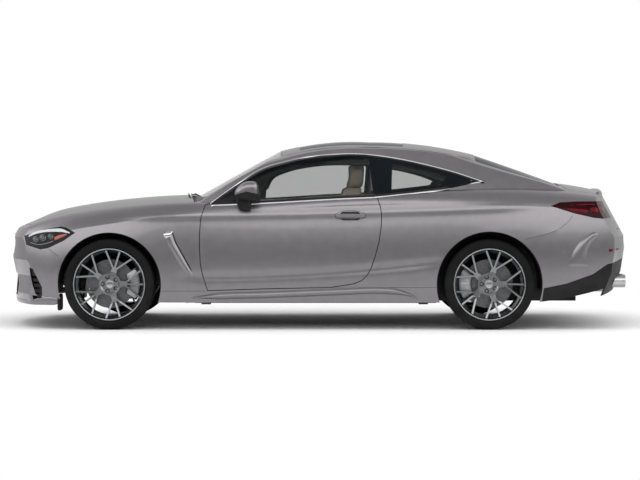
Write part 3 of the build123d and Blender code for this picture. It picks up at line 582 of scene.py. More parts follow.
def smooth_line(points: list, count: int, rounding: float = 1.0) -> np.ndarray:
    """Resamples a polyline evenly by length, through a Catmull-Rom curve.

    Args:
        points: the points it passes through.
        count: how many samples come back.
        rounding: 1 for the full curve, 0 for straight runs.

    Returns:
        (count, dims) samples.
    """
    p = np.asarray(points, float)
    ext = np.vstack([2 * p[0] - p[1], p, 2 * p[-1] - p[-2]])
    t = np.linspace(0, len(p) - 1 - 1e-9, 40 * len(p))
    i = t.astype(int)
    f = (t - i)[:, None]
    a, b, c, d = ext[i], ext[i + 1], ext[i + 2], ext[i + 3]
    curve = 0.5 * (2 * b + (c - a) * f + (2 * a - 5 * b + 4 * c - d) * f**2
                   + (3 * b - a - 3 * c + d) * f**3)
    curve = rounding * curve + (1 - rounding) * (b + (c - b) * f)
    run = np.concatenate([[0], np.cumsum(np.linalg.norm(np.diff(curve, axis=0), axis=1))])
    want = np.linspace(0, run[-1], count)
    return np.stack([np.interp(want, run, curve[:, k]) for k in range(p.shape[1])], axis=1)


def unit(v: np.ndarray) -> np.ndarray:
    """Vectors scaled to length 1."""
    return v / np.maximum(np.linalg.norm(v, axis=-1, keepdims=True), 1e-12)


def surface_normals(grid: np.ndarray) -> np.ndarray:
    """Unit normals of a (rows, columns, 3) grid, from its two tangents."""
    return unit(np.cross(np.gradient(grid, axis=1), np.gradient(grid, axis=0)))


def cube_grid(n: int) -> tuple[np.ndarray, np.ndarray]:
    """Vertices and quads of a cube from -1 to 1, with n by n vertices on each side.

    Args:
        n: vertices along an edge.

    Returns:
        Points (m, 3) and faces (k, 4), welded and facing outwards.
    """
    line = np.sin(np.linspace(-np.pi / 4, np.pi / 4, n)) / np.sin(np.pi / 4)
    a, b = level(line, line)
    points, faces = [], []
    for axis in range(3):
        for sign in (-1.0, 1.0):
            side = np.empty((n, n, 3))
            side[..., axis] = sign
            side[..., (axis + 1) % 3] = a
            side[..., (axis + 2) % 3] = b
            quads = grid_faces(n, n) + len(points) * n * n
            faces.append(quads[:, ::-1] if sign > 0 else quads)
            points.append(side.reshape(-1, 3))
    stacked, quads = np.vstack(points), np.vstack(faces)
    _, first, index = np.unique(np.round(stacked, 6), axis=0, return_index=True,
                                return_inverse=True)
    return stacked[first], index.reshape(-1)[quads][:, ::-1]


def rounded_box(n: int, half: tuple, power: float) -> tuple[np.ndarray, np.ndarray]:
    """A box whose edges are rounded as a superellipsoid.

    A point p of the cube goes to p / (|px|^k + |py|^k + |pz|^k)^(1/k), times the half sizes.

    Args:
        n: vertices along an edge.
        half: half sizes in metres.
        power: k; 2 is an ellipsoid and larger is squarer.

    Returns:
        Points and faces.
    """
    p, faces = cube_grid(n)
    norm = (np.abs(p) ** power).sum(axis=1, keepdims=True) ** (1 / power)
    return p / norm * np.asarray(half), faces


def bump(t: np.ndarray, middle: float, width: float) -> np.ndarray:
    """A bell of height 1: exp(-((t - middle) / width)^2)."""
    return np.exp(-(((t - middle) / width) ** 2))


def step(t: np.ndarray, low: float, high: float) -> np.ndarray:
    """A smooth step from 0 at low to 1 at high: s^2 (3 - 2 s)."""
    s = np.clip((t - low) / (high - low), 0, 1)
    return s * s * (3 - 2 * s)


# ------------------------------------------------------------------ dressing on panels
@dataclass
class Cover:
    """How a moulding, seam or lens lies on the car's skin.

    Args:
        look: its finish.
        targets: the CAD nodes it lies on; {s} stands for left or right.
        body: the body it rides on; {s} stands for left or right.
        height: how far its crown stands out.
        axis: the axis it is projected along. Its points are (x, z) for Y, seen from the
            side, (x, y) for Z, seen from above, and (y, z) for X, seen from an end.
        start: the coordinate along that axis that it starts from.
        squareness: 2 gives a round crown, larger a flat one.
        rounding: 1 for a curve through the points, 0 for straight runs.
        taper: width at the start and end as shares of the width.
        sides: the sides that have it; none makes one piece in the middle.
        guide: where not 0, the skin is read at this and twice this distance beside the
            line, positive to the left of its direction, and carried on from there.
    """

    look: Look
    targets: list
    body: str = "body"
    height: float = 0.003
    axis: str = "Y"
    start: float = -1.4
    squareness: float = 2.5
    rounding: float = 1.0
    taper: tuple = (1.0, 1.0)
    sides: tuple = tuple(SIDES)
    guide: float = 0.0


class Dresser:
    """Lays strips and patches over the CAD skin.

    Args:
        tools: the mesh tools.
    """

    SPACING = 0.012
    SINK = 0.0004

    def __init__(self, tools: MeshTools) -> None:
        self.tools = tools

    def ruled(self, name: str, rail_a: np.ndarray, rail_b: np.ndarray, cover: Cover,
              columns: int = 9, closed: bool = False, depth: np.ndarray | None = None) -> None:
        """Fills the band between two rails, projects it and raises its crown.

        The height over the skin at the share v across is
        height (1 - |2 v - 1|^squareness) - sink.

        Args:
            name: the piece's name, before its side.
            rail_a: (n, 2) points of one edge in the cover's plane.
            rail_b: (n, 2) points of the other edge.
            cover: how it lies on the skin.
            columns: vertices across.
            closed: whether the rails are small rings, which lie on a bent plane.
            depth: (n, columns) coordinates along the axis, where they are known already.
        """
        v = np.linspace(0, 1, columns)[:, None]
        grid = spread(rail_a[:, None] * (1 - v) + rail_b[:, None] * v, cover.axis)
        k = "XYZ".index(cover.axis)
        if depth is None:
            hit = self.meet(grid, cover)
            degree = int(np.clip(2 + length(rail_a) * 4, 2, 9))
            depth = (plane_fit(hit, *PLANES[cover.axis], k) if closed
                     else settle(hit[..., k], (degree, 2)))
        grid[..., k] = depth
        normal = surface_normals(grid)
        flip = np.sign(normal[..., k].mean() * cover.start)
        ends = 0 if closed else np.abs(np.linspace(-1, 1, len(rail_a)))[:, None] ** 40
        crown = cover.height * (1 - np.abs(2 * v[:, 0] - 1) ** cover.squareness) * (1 - ends)
        raised = grid + normal * flip * (crown - self.SINK)[..., None]
        faces = grid_faces(*grid.shape[:2])
        faces = faces[:, ::-1] if flip > 0 else faces
        if cover.sides:
            self.tools.pair(name, raised, faces, cover.look, cover.body, sides=cover.sides)
        else:
            self.tools.add(name, raised, faces, cover.look, cover.body)

    def band(self, name: str, rail_a: list, rail_b: list, rows: int, **cover: object) -> None:
        """Fills the band between two lines of points.

        Args:
            name: the piece's name, before its side.
            rail_a: points of one edge.
            rail_b: points of the other edge.
            rows: vertices along them.
            cover: the Cover's values.
        """
        laid = Cover(**cover)
        a, b = (smooth_line(rail, rows, laid.rounding) for rail in (rail_a, rail_b))
        self.ruled(name, a, b, laid)

    def strip(self, name: str, line: list, width: float, **cover: object) -> None:
        """Lays one strip along its middle line.

        Args:
            name: the piece's name, before its side.
            line: points of its middle line.
            width: across the line, in metres.
            cover: the Cover's values.
        """
        laid = Cover(**cover)
        rows = max(8, int(length(line) / self.SPACING))
        middle = smooth_line(line, rows, laid.rounding)
        along = unit(np.gradient(middle, axis=0))
        side = np.stack([-along[:, 1], along[:, 0]], axis=1)
        share = np.interp(np.linspace(0, 1, rows), [0, 0.12, 0.88, 1],
                          [laid.taper[0], 1, 1, laid.taper[1]])[:, None]
        depth = None
        if laid.guide:
            near, far = (self.beside(middle + side * laid.guide * n, laid) for n in (1, 2))
            across = np.linspace(-0.5, 0.5, 7) * width * share
            depth = near + (far - near) * (across / laid.guide - 1)
        half = side * width / 2 * share
        self.ruled(name, middle - half, middle + half, laid, columns=7, depth=depth)

    def meet(self, grid: np.ndarray, cover: Cover) -> np.ndarray:
        """Projects a grid on the cover's nodes, on the left side where they are paired."""
        return self.tools.project(grid, cover.axis, cover.targets, cover.start)

    def beside(self, flat: np.ndarray, cover: Cover) -> np.ndarray:
        """Smoothed skin coordinate along a line of the cover's plane, as a column."""
        hit = self.meet(spread(flat[:, None], cover.axis), cover)
        return settle(hit[..., "XYZ".index(cover.axis)], (9, 0))

    def ring(self, name: str, centre: tuple, outer: tuple, inner: tuple, turns: int = 41,
             columns: int = 9, **cover: object) -> None:
        """Lays a ring on the skin, built as a polar grid.

        Args:
            name: the piece's name, before its side.
            centre: its middle.
            outer: half sizes of its outer edge.
            inner: half sizes of its inner edge; a boss has a tiny one.
            turns: vertices round it.
            columns: vertices across.
            cover: the Cover's values.
        """
        turn = np.linspace(0, 2 * np.pi, turns)
        a, b = (centre + np.stack([np.cos(turn), np.sin(turn)], axis=1) * half
                for half in (inner, outer))
        self.ruled(name, a, b, Cover(**cover), columns=columns, closed=True)


@dataclass
class TrimSizes:
    """Widths of the bright and dark mouldings, in metres."""

    window_chrome: float = 0.0095
    belt_chrome: float = 0.012
    belt_seal: float = 0.015
    upper_seal: float = 0.014
    pillar_seal: float = 0.075
    seam: float = 0.0034
    roof_joint: float = 0.010


class Exterior:
    """Mouldings, seams, vents and small fittings on the painted body.

    Args:
        dresser: lays the strips.
        sizes: moulding widths.
    """

    UPPER = [(-0.824, 0.952), (-0.568, 1.136), (-0.416, 1.224), (-0.25, 1.273),
             (-0.108, 1.306), (0.08, 1.327), (0.274, 1.335), (0.48, 1.318), (0.686, 1.283),
             (0.892, 1.235), (1.047, 1.193), (1.198, 1.142), (1.27, 1.122)]
    BELT = [(-0.81, 0.940), (-0.4, 0.957), (0.091, 0.985), (0.42, 1.0)]
    BELT_REAR = [(0.42, 1.0), (0.782, 1.038), (0.936, 1.057), (1.092, 1.09), (1.27, 1.122)]
    SKIN = ["body_shell", "roof_panel", "front_fenders", "door_{s}", "rear_bumper",
            "front_bumper", "side_skirts", "door_glass_{s}", "quarter_windows"]

    def __init__(self, dresser: Dresser, sizes: TrimSizes) -> None:
        self.lay, self.sizes = dresser, sizes

    def build(self) -> None:
        """Makes every exterior piece."""
        self.window_trim()
        self.seams()
        self.vents()
        self.small_parts()

    def window_trim(self) -> None:
        """Bright frame round the side glass, with its dark seals and printed bands."""
        s, strip, band = self.sizes, self.lay.strip, self.lay.band
        panels = ["body_shell", "front_fenders", "door_{s}"]
        chrome = dict(look=Look.CHROME, targets=panels, height=0.004)
        strip("window_trim_upper", self.UPPER, s.window_chrome, guide=0.016, **chrome)
        strip("window_trim_belt", self.BELT, s.belt_chrome, body="door_{s}", guide=-0.018,
              **chrome)
        strip("window_trim_rear", self.BELT_REAR, s.belt_chrome, guide=-0.018, **chrome)
        seal = dict(look=Look.BLACK, targets=panels, height=0.002)
        strip("belt_seal", [(x, z + 0.013) for x, z in self.BELT], s.belt_seal, body="door_{s}",
              guide=-0.030, **seal)
        strip("quarter_seal", [(x, z + 0.012) for x, z in self.BELT_REAR[:-1]] + [(1.22, 1.118)],
              s.belt_seal, guide=-0.030, taper=(1.0, 0.2), **seal)
        strip("window_seal_upper", [(x + 0.004, z - 0.012) for x, z in self.UPPER],
              s.upper_seal, guide=0.028, **seal)
        frit = dict(look=Look.FRIT, height=0.0009, squareness=20)
        strip("door_glass_band", [(x + 0.012, z - 0.032) for x, z in self.UPPER[1:7]]
              + [(0.36, 1.298)], 0.030, targets=["door_glass_{s}"], body="door_{s}", **frit)
        quarter = dict(targets=["quarter_windows"], **frit)
        strip("quarter_glass_band", [(0.47, 1.287), (0.686, 1.252), (0.892, 1.204),
                                     (1.04, 1.161), (1.17, 1.123)], 0.036, **quarter)
        strip("quarter_glass_foot", [(0.47, 1.027), (0.75, 1.056), (0.95, 1.081),
                                     (1.13, 1.112)], 0.020, **quarter)
        band("quarter_glass_tail", [(0.93, 1.085), (1.19, 1.118)],
             [(0.99, 1.170), (1.19, 1.120)], 14, **quarter)
        band("quarter_glass_front", [(0.455, 1.025), (0.455, 1.287)],
             [(0.560, 1.040), (0.572, 1.272)], 14, **quarter)
        band("mirror_base", [(-0.80, 0.955), (-0.72, 1.013), (-0.64, 1.070)],
             [(-0.66, 0.955), (-0.64, 0.975), (-0.62, 1.010)], 14, look=Look.BLACK,
             targets=["door_glass_{s}"], body="door_{s}", height=0.004, squareness=8)
        strip("pillar_cover", [(0.425, 1.318), (0.462, 1.015)], s.pillar_seal, look=Look.FRIT,
              targets=["quarter_windows", "body_shell"], height=0.002, squareness=12,
              rounding=0)

    def seams(self) -> None:
        """Dark joints where fixed panels meet, the screen's printed band and the boot lip."""
        strip = self.lay.strip
        dark = dict(width=self.sizes.seam, look=Look.SEAM, height=0.0007, squareness=8,
                    targets=self.SKIN, rounding=0.15)
        strip("seam_front_bumper", [(-2.05, 0.612), (-2.0, 0.582), (-1.952, 0.552)], **dark)
        strip("seam_rear_bumper", [(1.553, 0.682), (1.62, 0.70), (1.717, 0.722),
                                   (1.816, 0.758), (1.898, 0.824), (1.93, 0.870)], **dark)
        strip("seam_skirt_front", [(-1.19, 0.292), (-0.845, 0.292)], **dark)
        strip("seam_skirt_rear", [(0.36, 0.32), (0.9, 0.32)], **dark)
        above = dict(axis="Z", start=1.8)
        strip("roof_joint", [(-0.24, -0.524), (0.3, -0.528), (0.9, -0.530), (1.205, -0.490)],
              self.sizes.roof_joint, look=Look.BLACK, height=0.0015,
              targets=["roof_panel", "body_shell", "roof_glass"], **above)
        flap = smooth_line([(1.40, 0.80), (1.53, 0.79), (1.55, 0.81), (1.555, 0.91),
                            (1.535, 0.93), (1.41, 0.925), (1.39, 0.90), (1.388, 0.82),
                            (1.40, 0.80)], 60, 0.4)
        strip("fuel_flap_joint", flap, sides=("right",), **dark)
        strip("screen_band", [(-0.915, -0.690), (-0.690, -0.634), (-0.460, -0.572)], 0.036,
              look=Look.FRIT, height=0.0009, squareness=20, targets=["windscreen"], **above)
        lip = [(2.165, -0.56), (2.195, -0.40), (2.212, -0.2), (2.216, 0.0)]
        strip("boot_lip", lip + [(x, -y) for x, y in lip[-2::-1]], 0.05, look=Look.PAINT,
              height=0.016, squareness=2, targets=["boot_lid"], body="boot_lid", sides=(),
              **above)

    def vents(self) -> None:
        """Top piece, blade and dark slot of the fender vent, and the flare of the skirt."""
        strip, band, fender = self.lay.strip, self.lay.band, ["front_fenders"]
        band("vent_blade", [(-1.164, 0.735), (-1.140, 0.665), (-1.080, 0.551), (-1.005, 0.430),
                            (-0.955, 0.388)],
             [(-1.106, 0.738), (-1.078, 0.660), (-1.033, 0.578), (-0.934, 0.400)], 30,
             look=Look.PAINT, targets=fender, height=0.010, squareness=1.7, rounding=0.5)
        strip("vent_slit", [(-1.102, 0.740), (-1.074, 0.660), (-1.029, 0.578), (-0.951, 0.440)],
              0.011, look=Look.SEAM, targets=fender, height=0.0035, squareness=8,
              taper=(1.0, 0.3), rounding=0.5)
        band("vent_cap", [(-1.166, 0.703), (-1.142, 0.688), (-1.110, 0.692)],
             [(-1.172, 0.726), (-1.150, 0.741), (-1.098, 0.747)], 12, look=Look.CHROME,
             targets=fender, height=0.013)
        strip("skirt_flare", [(-0.95, 0.243), (-0.70, 0.256), (-0.4, 0.264), (0.1, 0.284),
                              (0.38, 0.296), (0.56, 0.292), (0.68, 0.268), (0.76, 0.235)],
              0.054, look=Look.PAINT, targets=["side_skirts", "body_shell"], height=0.020,
              squareness=1.7, taper=(0.15, 0.15))

    def small_parts(self) -> None:
        """Parking sensors, rear reflectors, the rear bumper's facet and the handle's recess."""
        for name, x, z in (("sensor_rear", 1.86, 0.594), ("sensor_front", -2.06, 0.50)):
            self.lay.ring(name, (x, z), 0.012, 0.0085, look=Look.PAINT, height=0.0012,
                          targets=["rear_bumper", "front_bumper", "front_fenders"])
        self.lay.strip("reflector_rear", [(2.20, 0.598), (2.30, 0.607)], 0.02,
                       look=Look.LAMP_RED_BRIGHT, targets=["rear_bumper"])
        self.lay.band("bumper_facet", [(2.078, 0.742), (1.975, 0.662), (1.912, 0.560),
                                       (1.888, 0.475)],
                      [(2.128, 0.722), (2.055, 0.645), (2.030, 0.560), (2.050, 0.475)], 24,
                      look=Look.PAINT, targets=["rear_bumper"], height=0.012, squareness=2.0)
        self.lay.ring("handle_recess", (0.245, 0.862), (0.119, 0.040), (0.115, 0.036), 72, 5,
                      look=Look.SEAM, targets=["door_{s}"], body="door_{s}", height=0.0010)


# ------------------------------------------------------------------ lamps
class Lamps:
    """Light units inside the headlamp and tail lamp lenses.

    Args:
        dresser: lays the strips.
    """

    def __init__(self, dresser: Dresser) -> None:
        self.lay = dresser

    def build(self) -> None:
        """Makes the running-light strips, projector lenses and tail-light bars."""
        strip, band, front = self.lay.strip, self.lay.band, dict(targets=["headlamps"])
        band("running_light",
             [(-2.218, 0.693), (-2.172, 0.714), (-2.105, 0.730), (-2.031, 0.738),
              (-1.966, 0.737), (-1.915, 0.733), (-1.884, 0.728)],
             [(-2.222, 0.704), (-2.176, 0.731), (-2.107, 0.750), (-2.031, 0.761),
              (-1.954, 0.763), (-1.908, 0.751), (-1.876, 0.733)], 34,
             look=Look.LAMP_WHITE, squareness=3, **front)
        band("side_marker", [(-1.996, 0.672), (-1.95, 0.690), (-1.899, 0.716)],
             [(-2.004, 0.697), (-1.96, 0.716), (-1.905, 0.728)], 14,
             look=Look.LAMP_AMBER, height=0.002, **front)
        strip("running_light_lower", [(-2.20, 0.655), (-2.13, 0.640), (-2.06, 0.652),
                                      (-2.0, 0.672)], 0.006, look=Look.LAMP_SILVER,
              height=0.002, **front)
        for k, (x, z, r) in enumerate(((-2.155, 0.680, 0.024), (-2.095, 0.693, 0.026),
                                       (-2.030, 0.703, 0.022))):
            self.lay.ring(f"projector_bezel_{k}", (x, z), r, r * 0.82, look=Look.LAMP_SILVER,
                          **front)
            lens = r * 0.8
            self.lay.ring(f"projector_lens_{k}", (x, z), lens, lens * TINY,
                          look=Look.GLOSS_BLACK, height=0.006, **front)
        rear = dict(look=Look.LAMP_RED_BRIGHT, targets=["tail_lamps"])
        strip("tail_light_bar", [(1.90, 0.938), (1.98, 0.944), (2.08, 0.945), (2.17, 0.940)],
              0.009, height=0.005, taper=(0.3, 0.6), **rear)
        for k, (a, b) in enumerate((([(1.88, 0.916), (1.96, 0.915), (2.04, 0.906)],
                                     [(1.90, 0.902), (1.97, 0.888), (2.04, 0.874)]),
                                    ([(2.055, 0.921), (2.12, 0.924), (2.19, 0.921)],
                                     [(2.06, 0.893), (2.12, 0.881), (2.185, 0.872)]))):
            band(f"tail_light_cell_{k}", a, b, 16, height=0.004, **rear)
        strip("tail_light_rear", [(-0.62, 0.925), (-0.70, 0.925), (-0.77, 0.915)], 0.022,
              axis="X", start=3.0, **rear)


# ------------------------------------------------------------------ wheels
@dataclass
class WheelSizes:
    """One axle's wheel, in metres.

    Args:
        axle_x: the axle's place along the car.
        plane_y: distance of the tyre's middle from the car's middle.
        width: tyre width.
        turn: angle of the caliper's middle round the axle: 0 behind it, pi ahead.
        carrier: body that holds the caliper; {s} stands for left or right.
    """

    axle_x: float
    plane_y: float
    width: float
    turn: float
    carrier: str


class Wheel:
    """A tyre with tread, and the fittings of its rim.

    Args:
        tools: the mesh tools.
        axle: "front" or "rear".
        side: "left" or "right".
        sizes: its sizes.
    """

    GROOVES = (-0.078, -0.027, 0.027, 0.078)
    GROOVE_DEPTH = 0.007
    SEGMENTS = 432
    PITCHES = 72
    HUB = 0.069
    BOLT_CIRCLE = 0.056
    FIRST_BOLT = 252
    CALIPER = (0.181, 0.048, 32.5)

    def __init__(self, tools: MeshTools, axle: str, side: str, sizes: WheelSizes) -> None:
        self.tools, self.side, self.sizes = tools, side, sizes
        self.tag = f"{axle}_{side}"

    def build(self) -> None:
        """Makes the tyre and the rim's fittings."""
        self.tyre()
        self.rim_parts()
        self.caliper_cover()

    def add(self, name: str, r: np.ndarray, y: np.ndarray, turn: np.ndarray, faces: np.ndarray,
            look: Look, centre: tuple = (0.0, 0.0), **where: str) -> bpy.types.Object:
        """Adds a piece whose points are given about the axle.

        Args:
            name: the piece's name, before the wheel's.
            r: radii.
            y: places outboard of the tyre's middle plane.
            turn: angles.
            faces: its faces, as they are on the right.
            look: its finish.
            centre: shift along x and z.
            where: body and slot, where they aren't the wheel and the finish's.

        Returns:
            The new object.
        """
        sign = SIDES[self.side]
        grid = np.stack([self.sizes.axle_x + r * np.cos(turn) + centre[0],
                         sign * (self.sizes.plane_y + y),
                         WHEEL_Z + r * np.sin(turn) + centre[1]], axis=-1)
        where = {"body": f"road_wheel_{self.tag}", **where}
        return self.tools.add(f"{name}_{self.tag}", grid, faces if sign > 0 else faces[:, ::-1],
                              look, **where)

    def tyre(self) -> None:
        """The tyre: a closed profile turned about the axle, with tread cut into it.

        Each vertex is at radius r(p) - d(p, a), where d is the groove depth: 7 mm in four
        grooves round the tyre and up to 4.5 mm in slanted cuts of the shoulders.
        """
        half = self.sizes.width / 2
        side = smooth_line([(0.264, half - 0.024), (0.273, half - 0.014), (0.286, half - 0.0035),
                            (0.300, half), (0.314, half - 0.0025), (0.326, half - 0.009),
                            (0.338, half - 0.019), (0.342, half - 0.038)], 26)
        edges = [g + d for g in self.GROOVES for d in (-0.0055, -0.0042, 0.0042, 0.0055)]
        tread_y = np.sort([*edges, *np.linspace(-half + 0.046, half - 0.046, 22)])
        tread_r = TYRE_R - 0.001 * (np.abs(tread_y) / (half - 0.038)) ** 2
        turn, r = level(np.linspace(0, 2 * np.pi, self.SEGMENTS, endpoint=False),
                        np.concatenate([side[:, 0], tread_r[::-1], side[::-1, 0]]))
        y = np.concatenate([side[:, 1], tread_y[::-1], -side[::-1, 1]]) + 0 * r
        out = np.abs(y)
        groove = sum((np.abs(y - g) < 0.0048) * self.GROOVE_DEPTH for g in self.GROOVES)
        lug = (turn * self.PITCHES / (2 * np.pi) + y * 18) % 1.0 < 0.17
        cut = lug * 0.0045 * step(out, 0.086, 0.092) * (r > 0.331)
        rib = lug * 0.0028 * (np.abs(out - 0.052) < 0.018) * (r > 0.341)
        groove = np.maximum.reduce([groove, cut, rib])
        ring = 0.0007 * (bump(r, 0.2885, 0.0012) + bump(r, 0.3185, 0.0012))
        ribs = 0.0004 * (np.sin(turn * 216) > 0) * bump(r, 0.3035, 0.006) ** 0.5
        piece = self.add("tread_tyre", r - groove,
                         y + np.sign(y) * (ring + ribs) * (out / half > 0.9), turn,
                         grid_faces(*r.shape, closed_columns=True, closed_rows=True),
                         Look.TYRE)
        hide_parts(f"tyre_{self.tag}")

    def lathe(self, name: str, profile: list, look: Look, segments: int, samples: int,
              rounding: float = 0.0, base: float = HUB, **where: object) -> None:
        """A turned fitting about an axis beside the axle's.

        Args:
            name: the piece's name, before the wheel's.
            profile: its (radius, outboard) points.
            look: its finish.
            segments: vertices round it.
            samples: vertices along the profile.
            rounding: 1 for a curve through the points, 0 for straight runs.
            base: the plane that the profile's outboard places count from.
            where: centre and slot.
        """
        line = smooth_line(np.array(profile) + (0, base), samples, rounding)
        turn, r = level(np.linspace(0, 2 * np.pi, segments, endpoint=False), line[:, 0])
        self.add(name, r, line[:, 1] + 0 * r, turn, grid_faces(*r.shape, closed_rows=True),
                 look, **where)

    def rim_parts(self) -> None:
        """The polished rim edge, the centre cap and the five bolts, each in a dark ring of
        painted shade for its well.
        """
        self.lathe("rim_edge", [(0.2635, -0.004), (0.2650, 0.0012), (0.2685, 0.0024),
                                (0.2722, 0.0012), (0.2728, -0.006)],
                   Look.ALLOY_EDGE, 180, 16, 1.0, base=(self.sizes.width - 0.015) / 2)
        self.lathe("centre_cap", [(0.0004, 0.0085), (0.012, 0.008), (0.024, 0.0062),
                                  (0.0262, 0.0072), (0.0300, 0.0072), (0.0325, 0.004),
                                  (0.0335, -0.002)], Look.ALLOY_EDGE, 72, 30, 0.6)
        for k in range(5):
            a = math.radians(self.FIRST_BOLT + 72 * k)
            spot = (self.BOLT_CIRCLE * math.cos(a), self.BOLT_CIRCLE * math.sin(a))
            self.lathe(f"wheel_bolt_{k}", [(0.0004, -0.006), (0.0062, -0.006),
                                           (0.0070, -0.0075), (0.0078, -0.014),
                                           (0.0105, -0.017), (0.0106, -0.021)],
                       Look.SATIN, 6, 18, centre=spot, slot="alloy")
            # a dark ring round each bolt: painted shade standing for the shadow inside its well
            self.lathe(f"bolt_well_{k}", [(0.0102, -0.0030), (0.0110, 0.0010),
                                          (0.0164, 0.0013), (0.0174, -0.0010)],
                       Look.SEAM, 24, 14, centre=spot, slot="alloy")

    def caliper_cover(self) -> None:
        """The painted outer half of the caliper: a band of a ring, crowned both ways.

        It stands 30 mm out from the wheel's middle plane, and over that it rises by
        h (1 - |u|^6)(1 - |v|^4) plus two piston bosses and a rib, where u runs along the
        band and v across it, both from -1 to 1.
        """
        radius, half, reach = self.CALIPER
        u, v = level(np.linspace(-1, 1, 61), np.linspace(-1, 1, 25))
        height = 0.010 * (1 - np.abs(u) ** 6) * (1 - np.abs(v) ** 4)
        bosses = 0.0035 * (bump(u, -0.42, 0.2) + bump(u, 0.42, 0.2)) * bump(v, -0.2, 0.45)
        rib = 0.0025 * bump(u, 0.0, 0.06) * (np.abs(v) < 0.8)
        self.add("caliper_cover", radius + v * half, 0.030 + height + bosses + rib,
                 self.sizes.turn + u * math.radians(reach), grid_faces(*u.shape)[:, ::-1],
                 Look.CALIPER, body=self.sizes.carrier.format(s=self.side))


# ------------------------------------------------------------------ cabin
@dataclass
class SeatSizes:
    """A front seat, in metres.

    Args:
        x: front of the cushion.
        y: middle, as a distance from the car's middle.
        width: overall.
        recline: slope of the back, as dx over dz.
    """

    x: float = -0.39
    y: float = 0.40
    width: float = 0.48
    recline: float = 0.20


